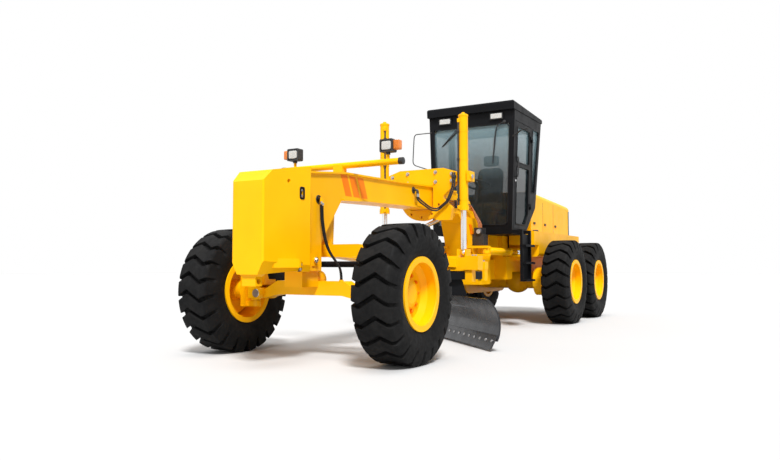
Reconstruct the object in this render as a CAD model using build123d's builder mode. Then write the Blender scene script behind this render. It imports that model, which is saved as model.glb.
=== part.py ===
from build123d import *
import math
import os

os.makedirs("parts", exist_ok=True)

# Layout of the machine, in millimetres: +X forward, +Y to the left, Z = 0 on the ground
FRONT_AXLE_X = 3440
REAR_FACE_X = -4460
TANDEM_X = -2760
TANDEM_SPACING = 1540
TRACK = 2155
ARTICULATION_X = -1010
LIFT_X = 980
CIRCLE_X = 740
BLADE_ANGLE = 43

# Fits between pieces
PIN_FIT = 0.3
SLIDE_FIT = 0.4
RUNNING_GAP = 6

# Tyres and rims
TYRE_DIAMETER = 1350
TYRE_WIDTH = 445
LUGS = 22
LUG_HEIGHT = 36
LUG_ROOT = 24
LUG_WIDTH = 112
LUG_REACH = 194
LUG_CHEVRON = 56
RIM_SEAT_RADIUS = 320
RIM_FLANGE_RADIUS = 355
RIM_WIDTH = 388
RIM_FLANGE_THICKNESS = 16
RIM_WALL = 20
DISC_OFFSET = 12
DISC_THICKNESS = 24
DISH_DEPTH = 54
HUB_RADIUS = 130
HUB_LENGTH = 150
HUB_CAP = 22
SPINDLE_RADIUS = 60

# Front axle: leaning yokes on the beam's ends, steering knuckles on their kingpins
LEAN_Y = 655
LEAN_Z = 650
LEAN_PIN_RADIUS = 40
LEAN_EYE_RADIUS = 58
LEAN_EYE_LENGTH = 180
LEAN_EAR_THICKNESS = 55
LEAN_BAR_Z = 1095
LEAN_BAR_HEIGHT = 130
LEAN_BAR_THICKNESS = 60
LEAN_BAR_PIN_RADIUS = 25
KINGPIN_Y = 780
KINGPIN_RADIUS = 35
KINGPIN_BOSS_RADIUS = 55
KINGPIN_BOSS = (565, 795)
KNUCKLE_EAR = 60
STEER_ARM = 260
TIE_ROD_Z = 956
TIE_ROD_RADIUS = 32
TIE_BALL_RADIUS = 28
TIE_EYE_SLACK = 12
AXLE_BEAM = (640, 785)
AXLE_BEAM_DEPTH = 150
AXLE_PIVOT_Z = 800
AXLE_PIVOT_RADIUS = 55
HOSE_RADIUS = 11
HOSE_Y = 190
HOSE_TOP = 1560
HOSE_OUTER_X = FRONT_AXLE_X + 142
HOSE_INNER_X = FRONT_AXLE_X + 116
GLAND_RADIUS = 20
ELBOW_RADIUS = 12
GLAND_TOP = 800

# Front frame: a box beam from the nose leg back to the column over the articulation hinge
BEAM_HALF_WIDTH = 150
FLANGE_HALF_WIDTH = 172
FLANGE_THICKNESS = 20
LEG_REAR_X = FRONT_AXLE_X + 75
LEG_FRONT_X = LEG_REAR_X + 325
LEG_BOTTOM_Z = 890
COLUMN_HALF_WIDTH = 190
LEG_LUG = (LEG_REAR_X + 125, 1000)
HOSE_HOLE = (FRONT_AXLE_X + 130, 1614)
HOSE_HOLE_RADIUS = 32
HOSE_HOLE_DEPTH = 40
HINGE_PIN_RADIUS = 60
HINGE_LUG_RADIUS = 170
HINGE_TOP = (1040, 1090)
HINGE_BOTTOM = (655, 705)
DRAWBAR_BALL = (FRONT_AXLE_X - 220, 0, 1100)
BALL_RADIUS = 60

# Counterweight on the nose
FRONT_FACE_X = LEG_FRONT_X + 620
NOSE_FRONT_HALF = 187
NOSE_REAR_HALF = 270
TOW_EYE_RADIUS = 25
TOW_EYE_X = FRONT_FACE_X - 70
LIFT_HOLE = (FRONT_FACE_X - 313, 1738)
LIFT_HOLE_RADIUS = 20
BOLT_SLOT_X = LEG_FRONT_X + 135
BOLT_SLOT_WIDTH = 32
BOLT_SLOTS = ((1585, 1690), (884, 980))
TOW_WEDGE_X = (FRONT_FACE_X - 420, FRONT_FACE_X - 145)
TOW_WEDGE_Z = (925, 1010)
TOW_WEDGE_OUT = 55

# Circle, arms and blade, drawn square to the machine before they are turned to the blade's angle
CIRCLE_OUTER = 700
CIRCLE_INNER = 592
CIRCLE_TEETH = 64
TOOTH_HEIGHT = 24
TOOTH_WIDTH = 34
CIRCLE_Z = (760, 860)
ARM_Y = 600
ARM_THICKNESS = 40
BLADE_LENGTH = 3960
BLADE_EDGE_Z = 25
BLADE_TOP_Z = 575
BLADE_EDGE_X = 40
BLADE_TOP_X = 110
BLADE_SAG = 130
BLADE_THICKNESS = 20
BLADE_REST_SHIFT = 16
EDGE_HEIGHT = 150
EDGE_THICKNESS = 20
RAIL_SIZE = 60
TOP_RAIL_Z = 470
BOTTOM_RAIL_Z = 160
SHIFT_BARREL_RADIUS = 45
SHIFT_ROD_RADIUS = 25
SHIFT_LUG_Y = 1150

# Hydraulic cylinders
LIFT_Y = 600
LIFT_TRUNNION_Z = 2100
LIFT_BARREL = (1660, 2920)
LIFT_BARREL_RADIUS = 62
LIFT_ROD_RADIUS = 35
LIFT_BALL_Z = 1110
LIFT_BALL_RADIUS = 40
SADDLE_RADIUS = 330
SADDLE_Z = 1870
SADDLE_THICKNESS = 80
INDEX_HOLES = 5
INDEX_CIRCLE = 285
INDEX_RADIUS = 17
ARTIC_Y = 450
ARTIC_Z = 1150
ARTIC_FRONT_X = -140
ARTIC_REAR_X = -1510
ARTIC_BARREL_LENGTH = 960
ARTIC_BARREL_RADIUS = 56
ARTIC_ROD_RADIUS = 30
CENTRE_X = 860
CENTRE_TOP = (330, 1620)
CENTRE_BASE = (-720, 1190)
CENTRE_BARREL_RADIUS = 55
CENTRE_BARREL_LENGTH = 640
CENTRE_ROD_RADIUS = 30

# Rear frame, tandem cases, engine and bodywork
RAIL_Y = (240, 330)
RAIL_Z = (830, 1080)
HINGE_BLOCK = (712, 1033)
CASE_Y = (610, 838)
CASE_HEIGHT = 460
TANK_Y = (250, 760)
TANK_Z = (1080, 1490)
TANK_X = (-4100, -1640)
TANK_NOSE_X = -1410
TANK_NOSE_Y = 340
TANK_NOSE_Z = 1270
HOOD_X = (-4340, -2030)
HOOD_HALF_WIDTH = 500
HOOD_FRONT_Z = 2210
HOOD_REAR_Z = 2100
HOOD_WALL = 20
HITCH_PIN_RADIUS = 22

# Cab: walls taper in towards the floor
CAB_FRONT_X = -660
CAB_REAR_TOP_X = -1930
CAB_KINK = (-1730, 1875)
CAB_SLANT_FOOT = (-1244, 1414)
CAB_FLOOR_Z = 1414
CAB_TOP_Z = 3310
CAB_TOP_HALF = 725
CAB_FLOOR_HALF = 660
CAB_WALL = 50
FLOOR_THICKNESS = 90
GLASS_THICKNESS = 8
ROOF_X = (-1960, -590)
ROOF_HALF = 735
ROOF_FRONT_Z = CAB_TOP_Z + 140
ROOF_REAR_Z = CAB_TOP_Z + 80
WINDOW_MARGIN = 77
DOOR_GAP = 8
DOOR_HINGE_OUT = 18
DOOR_HINGE_RADIUS = 12
DOOR_PIN_RADIUS = 6
DOOR_KNUCKLE = 45
STEP_Y = (800, 900)

# Values worked out from the sizes above
TYRE_RADIUS = TYRE_DIAMETER / 2
WHEEL_Y = TRACK / 2
MIDDLE_X = TANDEM_X + TANDEM_SPACING / 2
BACK_X = TANDEM_X - TANDEM_SPACING / 2
WHEELS = {
    "front_left": (FRONT_AXLE_X, 1),
    "front_right": (FRONT_AXLE_X, -1),
    "middle_left": (MIDDLE_X, 1),
    "middle_right": (MIDDLE_X, -1),
    "back_left": (BACK_X, 1),
    "back_right": (BACK_X, -1),
}
SIDES = {"left": 1, "right": -1}


def side_plane(y):
    """Vertical plane along the machine: local axes are X and Z."""
    return Plane(origin=(0, y, 0), x_dir=(1, 0, 0), z_dir=(0, -1, 0))


def cross_plane(x):
    """Vertical plane across the machine: local axes are Y and Z."""
    return Plane(origin=(x, 0, 0), x_dir=(0, 1, 0), z_dir=(1, 0, 0))


def slab(outline, plane, depth, mode=Mode.ADD):
    """Straight-sided outline, as thick as depth and centred on its plane."""
    with BuildSketch(plane) as face:
        with BuildLine():
            Polyline(*outline, close=True)
        make_face()
    extrude(face.sketch, amount=depth / 2, both=True, mode=mode)


def block(x, y, z, mode=Mode.ADD):
    """Box between the two limits given for each axis."""
    with Locations((sum(x) / 2, sum(y) / 2, sum(z) / 2)):
        Box(abs(x[1] - x[0]), abs(y[1] - y[0]), abs(z[1] - z[0]), mode=mode)


def rod(start, end, radius, mode=Mode.ADD):
    """Round bar from one point to another."""
    axis = Vector(*end) - Vector(*start)
    with BuildSketch(Plane(origin=start, z_dir=axis)) as section:
        Circle(radius)
    extrude(section.sketch, amount=axis.length, mode=mode)


def strut(start, end, width, height, mode=Mode.ADD):
    """Rectangular bar from one point to another, its width level."""
    axis = Vector(*end) - Vector(*start)
    level = Vector(0, 0, 1).cross(axis)
    with BuildSketch(Plane(origin=start, x_dir=level, z_dir=axis)) as section:
        Rectangle(width, height)
    extrude(section.sketch, amount=axis.length, mode=mode)


def keep(piece, name):
    """Label a finished piece and write it out."""
    piece.label = name
    export_step(piece, f"parts/{name}.step")


def wheel_plane(x, side):
    """Section plane of a wheel: local X points outboard, local Y is the radius."""
    return Plane(origin=(x, side * WHEEL_Y, TYRE_RADIUS), x_dir=(0, side, 0), z_dir=(side, 0, 0))


def wheel_axis(x, side):
    return Axis((x, side * WHEEL_Y, TYRE_RADIUS), (0, 1, 0))


def flat_ring(height, radius):
    """Flat-sided outline of the tyre at a height along its axis, with one flat for each lug."""
    with BuildSketch(Plane.XY.offset(height)) as ring:
        RegularPolygon(radius, LUGS, major_radius=False)
    return ring.sketch


def lug_plane(number):
    """Plane on one of the tyre's flats, sunk by the lug's root: local X runs round the tyre."""
    turn = math.tau * (number + 0.5) / LUGS
    out = Vector(math.cos(turn), math.sin(turn), 0)
    return Plane(origin=out * (TYRE_RADIUS - LUG_HEIGHT - LUG_ROOT), x_dir=Vector(0, 0, 1).cross(out),
                 z_dir=out)


def make_tyre():
    """Tyre about the Z axis: bulging walls, a crown with a flat to each lug, and the chevron lugs."""
    half = TYRE_WIDTH / 2
    bead = RIM_WIDTH / 2 - RIM_FLANGE_THICKNESS
    crown = TYRE_RADIUS - LUG_HEIGHT
    belly = (RIM_FLANGE_RADIUS + crown) / 2
    rings = [(half, belly), (half - 24, crown - 26), (half - 44, crown)]
    lug = [(-LUG_WIDTH, -LUG_REACH), (0, -LUG_REACH), (LUG_CHEVRON, 0), (0, LUG_REACH),
           (-LUG_WIDTH, LUG_REACH),
           (LUG_CHEVRON - LUG_WIDTH, 0)]
    middle = (LUG_WIDTH - LUG_CHEVRON) / 2
    with BuildPart() as tyre:
        loft([flat_ring(-z, r) for z, r in rings] + [flat_ring(z, r) for z, r in reversed(rings)],
             ruled=True)
        for side in (-1, 1):
            loft([flat_ring(side * half, belly), flat_ring(side * bead, RIM_FLANGE_RADIUS)], ruled=True,
                 mode=Mode.SUBTRACT)
        extrude(flat_ring(0, RIM_SEAT_RADIUS + PIN_FIT), amount=TYRE_WIDTH, both=True, mode=Mode.SUBTRACT)
        with BuildSketch(*[lug_plane(number) for number in range(LUGS)]) as lugs:
            with BuildLine():
                Polyline(*[(x + middle, y) for x, y in lug], close=True)
            make_face()
        extrude(lugs.sketch, amount=LUG_ROOT + LUG_HEIGHT)
    return tyre.part


def make_rim(x, side):
    """Dished rim with its disc and a hub that is bored for the spindle."""
    half = RIM_WIDTH / 2
    bead = half - RIM_FLANGE_THICKNESS
    well = RIM_SEAT_RADIUS - RIM_WALL
    face = DISC_OFFSET + DISC_THICKNESS
    bore = SPINDLE_RADIUS + PIN_FIT
    hub_out = face + 34
    hub_in = hub_out - HUB_LENGTH
    outline = [
        (-half, RIM_FLANGE_RADIUS), (-bead, RIM_FLANGE_RADIUS), (-bead, RIM_SEAT_RADIUS),
        (bead, RIM_SEAT_RADIUS), (bead, RIM_FLANGE_RADIUS), (half, RIM_FLANGE_RADIUS), (half, well),
        (face + DISH_DEPTH, well), (face, well - DISH_DEPTH + 9), (face, HUB_RADIUS), (hub_out, HUB_RADIUS),
        (hub_out + 10, HUB_RADIUS - 35), (hub_out + 10, 0), (hub_out + 10 - HUB_CAP, 0),
        (hub_out + 10 - HUB_CAP, bore), (hub_in, bore), (hub_in, HUB_RADIUS - 20),
        (DISC_OFFSET, HUB_RADIUS - 20), (DISC_OFFSET, well - DISH_DEPTH + 16),
        (DISC_OFFSET + DISH_DEPTH - 8, well), (-half, well),
    ]
    with BuildPart() as rim:
        with BuildSketch(wheel_plane(x, side)):
            with BuildLine():
                Polyline(*outline, close=True)
            make_face()
        revolve(axis=wheel_axis(x, side))
    return rim.part


TYRE = make_tyre()
for wheel_name, (wheel_x, wheel_side) in WHEELS.items():
    hub = Plane(origin=(wheel_x, wheel_side * WHEEL_Y, TYRE_RADIUS), x_dir=(1, 0, 0), z_dir=(0, -1, 0))
    keep(TYRE.moved(hub.location), f"tyre_{wheel_name}")
    keep(make_rim(wheel_x, wheel_side), f"rim_{wheel_name}")
SPINDLE_END = WHEEL_Y + DISC_OFFSET + DISC_THICKNESS + 34 + 10 - HUB_CAP - 2
HUB_INNER_Y = WHEEL_Y + DISC_OFFSET + DISC_THICKNESS + 34 - HUB_LENGTH


def make_knuckle(side):
    """Steering knuckle: ears on the kingpin, spindle for the wheel and the steering arm."""
    low, high = KINGPIN_BOSS
    web_y = (KINGPIN_Y + KINGPIN_BOSS_RADIUS + 30, KINGPIN_Y + 140)
    arm_end = FRONT_AXLE_X - STEER_ARM
    pin = (FRONT_AXLE_X, side * KINGPIN_Y)
    with BuildPart() as knuckle:
        for bottom in (low - 5 - KNUCKLE_EAR, high + 5):
            with BuildSketch(Plane.XY.offset(bottom)) as ear:
                with Locations(pin):
                    Circle(KINGPIN_BOSS_RADIUS)
                with Locations((FRONT_AXLE_X, side * (KINGPIN_Y + web_y[1]) / 2)):
                    Rectangle(2 * KINGPIN_BOSS_RADIUS, web_y[1] - KINGPIN_Y)
            extrude(ear.sketch, amount=KNUCKLE_EAR)
        block((FRONT_AXLE_X - 90, FRONT_AXLE_X + 90), (side * web_y[0], side * web_y[1]),
              (low - 5 - KNUCKLE_EAR, high + 5 + KNUCKLE_EAR))
        rod((*pin, low - 5 - KNUCKLE_EAR), (*pin, high + 5 + KNUCKLE_EAR), KINGPIN_RADIUS)
        rod((FRONT_AXLE_X, side * web_y[1], TYRE_RADIUS),
            (FRONT_AXLE_X, side * (HUB_INNER_Y - 2), TYRE_RADIUS), 105)
        rod((FRONT_AXLE_X, side * web_y[1], TYRE_RADIUS), (FRONT_AXLE_X, side * SPINDLE_END, TYRE_RADIUS),
            SPINDLE_RADIUS)
        strut((FRONT_AXLE_X - 60, side * (KINGPIN_Y + 20), high + 5 + 32),
              (arm_end, side * KINGPIN_Y, 890), 48, 36)
        rod((arm_end, side * KINGPIN_Y, 872), (arm_end, side * KINGPIN_Y, 905), 34)
        if side > 0:
            rod((arm_end, KINGPIN_Y, 860), (arm_end, KINGPIN_Y, 930), 16 + PIN_FIT, mode=Mode.SUBTRACT)
        else:
            rod((arm_end, -KINGPIN_Y, 905), (arm_end, -KINGPIN_Y, TIE_ROD_Z), 16)
            with Locations((arm_end, -KINGPIN_Y, TIE_ROD_Z)):
                Sphere(TIE_BALL_RADIUS)
    return knuckle.part


def make_yoke(side):
    """Leaning yoke: two ears on the lean pin, the kingpin boss and the arm up to the lean bar."""
    inner = LEAN_EYE_LENGTH / 2 + 5
    outer = inner + LEAN_EAR_THICKNESS
    low, high = KINGPIN_BOSS
    pivot = (side * LEAN_Y, LEAN_Z)
    with BuildPart() as yoke:
        for sign in (-1, 1):
            with BuildSketch(cross_plane(FRONT_AXLE_X + sign * (inner + outer) / 2)) as ear:
                with Locations(pivot):
                    Circle(LEAN_EYE_RADIUS + 8)
                with Locations((side * (LEAN_Y + 50), LEAN_Z + 45)):
                    Rectangle(110, 195)
            extrude(ear.sketch, amount=LEAN_EAR_THICKNESS / 2, both=True)
        rod((FRONT_AXLE_X - outer, *pivot), (FRONT_AXLE_X + outer, *pivot), LEAN_PIN_RADIUS)
        block((FRONT_AXLE_X - outer, FRONT_AXLE_X + outer), (side * (LEAN_Y + 65), side * (LEAN_Y + 105)),
              (LEAN_Z - 40, high - 3))
        block((FRONT_AXLE_X - outer, FRONT_AXLE_X + outer), (side * (LEAN_Y - 25), side * (LEAN_Y + 105)),
              (LEAN_Z + 88, high - 3))
        rod((FRONT_AXLE_X, side * KINGPIN_Y, low), (FRONT_AXLE_X, side * KINGPIN_Y, high),
            KINGPIN_BOSS_RADIUS)
        block((FRONT_AXLE_X, FRONT_AXLE_X + 50), (side * (LEAN_Y - 40), side * (LEAN_Y + 36)),
              (LEAN_Z + 88, LEAN_BAR_Z))
        rod((FRONT_AXLE_X, side * LEAN_Y, LEAN_BAR_Z), (FRONT_AXLE_X + 50, side * LEAN_Y, LEAN_BAR_Z), 45)
        rod((FRONT_AXLE_X - 5 - LEAN_BAR_THICKNESS - 12, side * LEAN_Y, LEAN_BAR_Z),
            (FRONT_AXLE_X, side * LEAN_Y, LEAN_BAR_Z), LEAN_BAR_PIN_RADIUS)
        rod((FRONT_AXLE_X, side * KINGPIN_Y, low), (FRONT_AXLE_X, side * KINGPIN_Y, high),
            KINGPIN_RADIUS + PIN_FIT, mode=Mode.SUBTRACT)
    return yoke.part


for side_name, side_sign in SIDES.items():
    keep(make_knuckle(side_sign), f"knuckle_{side_name}")
    keep(make_yoke(side_sign), f"lean_yoke_{side_name}")

with BuildPart() as lean_bar:
    bar_x = FRONT_AXLE_X - 5 - LEAN_BAR_THICKNESS / 2
    end_y = LEAN_Y - 120
    half_height = LEAN_BAR_HEIGHT / 2
    slab([(-end_y, LEAN_BAR_Z - half_height), (end_y, LEAN_BAR_Z - half_height), (LEAN_Y, LEAN_BAR_Z - 45),
          (LEAN_Y, LEAN_BAR_Z + 45), (end_y, LEAN_BAR_Z + half_height), (-end_y, LEAN_BAR_Z + half_height),
          (-LEAN_Y, LEAN_BAR_Z + 45), (-LEAN_Y, LEAN_BAR_Z - 45)], cross_plane(bar_x), LEAN_BAR_THICKNESS)
    for sign, slack in ((1, PIN_FIT), (-1, RUNNING_GAP)):
        eye = (bar_x - LEAN_BAR_THICKNESS / 2, sign * LEAN_Y, LEAN_BAR_Z)
        far = (bar_x + LEAN_BAR_THICKNESS / 2, sign * LEAN_Y, LEAN_BAR_Z)
        rod(eye, far, 45)
        rod(eye, far, LEAN_BAR_PIN_RADIUS + slack, mode=Mode.SUBTRACT)
keep(lean_bar.part, "lean_bar")

TIE_X = FRONT_AXLE_X - STEER_ARM
with BuildPart() as tie_rod_ball:
    rod((TIE_X, KINGPIN_Y, 872), (TIE_X, KINGPIN_Y, TIE_ROD_Z), 16)
    with Locations((TIE_X, KINGPIN_Y, TIE_ROD_Z)):
        Sphere(TIE_BALL_RADIUS)
keep(tie_rod_ball.part, "tie_rod_ball")

with BuildPart() as tie_rod:
    rod((TIE_X, -KINGPIN_Y, TIE_ROD_Z), (TIE_X, KINGPIN_Y, TIE_ROD_Z), TIE_ROD_RADIUS - 6)
    rod((TIE_X, -KINGPIN_Y + 120, TIE_ROD_Z), (TIE_X, KINGPIN_Y - 120, TIE_ROD_Z), TIE_ROD_RADIUS)
    for sign, slack in ((1, PIN_FIT), (-1, TIE_EYE_SLACK)):
        rod((TIE_X, sign * KINGPIN_Y, TIE_ROD_Z - 18), (TIE_X, sign * KINGPIN_Y, TIE_ROD_Z + 18),
            TIE_BALL_RADIUS + slack + 18)
        rod((TIE_X, sign * KINGPIN_Y, TIE_ROD_Z - 40), (TIE_X, sign * KINGPIN_Y, TIE_ROD_Z + 40),
            TIE_BALL_RADIUS + slack, mode=Mode.SUBTRACT)
keep(tie_rod.part, "tie_rod")

HOSES = {
    "axle_hose_outer": [
        (HOSE_OUTER_X, HOSE_Y, HOSE_TOP), (HOSE_OUTER_X, HOSE_Y, 1450), (FRONT_AXLE_X + 136, 205, 1325),
        (FRONT_AXLE_X + 126, 225, 1200), (FRONT_AXLE_X + 108, 262, 1085), (FRONT_AXLE_X + 80, 325, 990),
        (FRONT_AXLE_X + 48, 380, 900), (FRONT_AXLE_X + 48, 380, GLAND_TOP)],
    "axle_hose_inner": [
        (HOSE_INNER_X, HOSE_Y, HOSE_TOP - 12), (HOSE_INNER_X, HOSE_Y, 1440), (FRONT_AXLE_X + 109, 203,
                                                                              1318),
        (FRONT_AXLE_X + 97, 220, 1196), (FRONT_AXLE_X + 75, 250, 1085), (FRONT_AXLE_X + 42, 300, 995),
        (FRONT_AXLE_X + 8, 345, 905), (FRONT_AXLE_X + 8, 345, GLAND_TOP)],
}


def bend_radii(points):
    """Radius of each bend of a hose, as large as the runs on both sides of it allow."""
    runs = [Vector(*end) - Vector(*start) for start, end in zip(points, points[1:])]
    return [0.45 * min(before.length, after.length) / math.tan(math.radians(before.get_angle(after)) / 2)
            for before, after in zip(runs, runs[1:])]


with BuildPart() as front_axle:
    low, high = AXLE_BEAM
    tip = LEAN_Y - 70
    slab([(-400, low), (400, low), (tip, LEAN_Z - 50), (LEAN_Y - 30, LEAN_Z - 45),
          (LEAN_Y - 30, LEAN_Z + 30),
          (tip, LEAN_Z + 45), (420, high), (-420, high), (-tip, LEAN_Z + 45), (-LEAN_Y + 30, LEAN_Z + 30),
          (-LEAN_Y + 30, LEAN_Z - 45), (-tip, LEAN_Z - 50)], cross_plane(FRONT_AXLE_X), AXLE_BEAM_DEPTH)
    hub_x = (FRONT_AXLE_X - 100, LEG_REAR_X - 20)
    rod((hub_x[0], 0, AXLE_PIVOT_Z), (hub_x[1], 0, AXLE_PIVOT_Z), AXLE_PIVOT_RADIUS + 35)
    rod((hub_x[0], 0, AXLE_PIVOT_Z), (LEG_REAR_X + 40, 0, AXLE_PIVOT_Z), AXLE_PIVOT_RADIUS + PIN_FIT,
        mode=Mode.SUBTRACT)
    for sign in (-1, 1):
        eye = (FRONT_AXLE_X - LEAN_EYE_LENGTH / 2, sign * LEAN_Y, LEAN_Z)
        far = (FRONT_AXLE_X + LEAN_EYE_LENGTH / 2, sign * LEAN_Y, LEAN_Z)
        rod(eye, far, LEAN_EYE_RADIUS)
        rod(eye, far, LEAN_PIN_RADIUS + PIN_FIT, mode=Mode.SUBTRACT)
    for hose in HOSES.values():
        end_x, end_y, _ = hose[-1]
        rod((end_x, end_y, AXLE_PIVOT_Z - 40), (end_x, end_y, GLAND_TOP), GLAND_RADIUS)
keep(front_axle.part, "front_axle")

for hose_name, hose in HOSES.items():
    with BuildPart() as hose_tube:
        with BuildLine() as route:
            FilletPolyline(*hose, radius=bend_radii(hose))
        with BuildSketch(Plane(origin=hose[0], z_dir=(0, 0, -1))):
            Circle(HOSE_RADIUS)
        sweep(path=route.line)
    tube_length = sum(edge.length for edge in route.line.edges())
    filled = hose_tube.part.volume / (math.pi * HOSE_RADIUS ** 2 * tube_length)
    print(hose_name, "bend radii", [round(radius) for radius in bend_radii(hose)], "length", round(tube_length),
          "volume to section times length", round(filled, 4))
    keep(hose_tube.part, hose_name)

BEAM_REACH = LEG_REAR_X - LIFT_X
BEAM_TOP = [(LEG_FRONT_X, 1852), (LEG_REAR_X - 415, 1927), (LIFT_X + 0.363 * BEAM_REACH, 1953),
            (LIFT_X + 100, 1983),
            (250, 1985)]
BEAM_BOTTOM = [(160, 1700), (LIFT_X + 160, 1711), (LIFT_X + 0.363 * BEAM_REACH, 1700),
               (LIFT_X + 0.678 * BEAM_REACH, 1679), (LEG_REAR_X - 375, 1654)]
with BuildPart() as front_frame:
    web = BEAM_TOP + [(-250, 1900), (-460, 1650), (-460, 1150), (-200, 1150), (-80, 1320),
                      (20, 1560)] + BEAM_BOTTOM
    web += [(LEG_REAR_X - 85, 1290), (LEG_REAR_X, 1180), (LEG_REAR_X, LEG_BOTTOM_Z),
            (LEG_FRONT_X, LEG_BOTTOM_Z)]
    slab(web, side_plane(0), 2 * BEAM_HALF_WIDTH)
    for line, lift in ((BEAM_TOP, 0), (BEAM_BOTTOM, -FLANGE_THICKNESS)):
        edge = [(x, z + lift) for x, z in line]
        raised = [(x, z + FLANGE_THICKNESS) for x, z in reversed(edge)]
        slab(edge + raised, side_plane(0), 2 * FLANGE_HALF_WIDTH)
    slab([(-460, 1650), (-460, HINGE_TOP[0]), (-180, HINGE_TOP[0]), (-80, 1320), (20, 1560), (20, 1650)],
         side_plane(0), 2 * COLUMN_HALF_WIDTH)
    for low, high in (HINGE_TOP, HINGE_BOTTOM):
        with BuildSketch(Plane.XY.offset(low)) as lug:
            with BuildLine():
                Polyline((-230, 320), (-480, 320), (ARTICULATION_X + 60, HINGE_LUG_RADIUS - 12),
                         (ARTICULATION_X + 60, -HINGE_LUG_RADIUS + 12), (-480, -320), (-230, -320),
                         close=True)
            make_face()
            with Locations((ARTICULATION_X, 0)):
                Circle(HINGE_LUG_RADIUS)
                Circle(HINGE_PIN_RADIUS + PIN_FIT, mode=Mode.SUBTRACT)
        extrude(lug.sketch, amount=high - low)
    for sign in (-1, 1):
        block((-620, -230), (sign * 280, sign * 320), (HINGE_BOTTOM[0], HINGE_TOP[1]))
    block((-270, -230), (-320, 320), (HINGE_BOTTOM[0], HINGE_TOP[1]))
    for sign in (-1, 1):
        for low, high in ((ARTIC_Z - 75, ARTIC_Z - 42), (ARTIC_Z + 42, ARTIC_Z + 75)):
            block((ARTIC_FRONT_X - 60, ARTIC_FRONT_X + 60), (sign * 150, sign * (ARTIC_Y + 55)),
                  (low, high))
        rod((ARTIC_FRONT_X, sign * ARTIC_Y, ARTIC_Z - 75), (ARTIC_FRONT_X, sign * ARTIC_Y, ARTIC_Z + 75),
            25)
    block((LEG_REAR_X, LEG_FRONT_X - 60), (-110, 110), (AXLE_PIVOT_Z - 70, LEG_BOTTOM_Z))
    rod((FRONT_AXLE_X - 100, 0, AXLE_PIVOT_Z), (LEG_REAR_X + 40, 0, AXLE_PIVOT_Z), AXLE_PIVOT_RADIUS)
    for sign in (-1, 1):
        rod((LEG_LUG[0], sign * BEAM_HALF_WIDTH, LEG_LUG[1]),
            (LEG_LUG[0], sign * (BEAM_HALF_WIDTH + 26), LEG_LUG[1]), 30)
        block((LEG_LUG[0] - 42, LEG_LUG[0] + 42), (sign * BEAM_HALF_WIDTH, sign * (BEAM_HALF_WIDTH + 12)),
              (LEG_LUG[1] - 60, LEG_LUG[1] + 60))
    rod((HOSE_HOLE[0], BEAM_HALF_WIDTH - HOSE_HOLE_DEPTH, HOSE_HOLE[1]),
        (HOSE_HOLE[0], BEAM_HALF_WIDTH + 10, HOSE_HOLE[1]),
        HOSE_HOLE_RADIUS, mode=Mode.SUBTRACT)
    for hose_x, drop in ((HOSE_OUTER_X, 0), (HOSE_INNER_X, 12)):
        elbow_z = HOSE_HOLE[1] + 6 - drop
        rod((hose_x, BEAM_HALF_WIDTH - HOSE_HOLE_DEPTH, elbow_z), (hose_x, HOSE_Y, elbow_z), ELBOW_RADIUS)
        rod((hose_x, HOSE_Y, elbow_z + ELBOW_RADIUS), (hose_x, HOSE_Y, HOSE_TOP - drop), ELBOW_RADIUS)
    ball_x, _, ball_z = DRAWBAR_BALL
    slab([(ball_x - 70, 1640), (ball_x - 45, ball_z + 95), (ball_x + 75, ball_z + 95),
          (ball_x + 200, 1330), (ball_x + 80, 1640)],
         side_plane(0), 120)
    rod((ball_x, 0, ball_z + 48), (ball_x, 0, ball_z + 110), BALL_RADIUS + 15)
    with Locations(DRAWBAR_BALL):
        Sphere(BALL_RADIUS + PIN_FIT, mode=Mode.SUBTRACT)
keep(front_frame.part, "front_frame")

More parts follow.
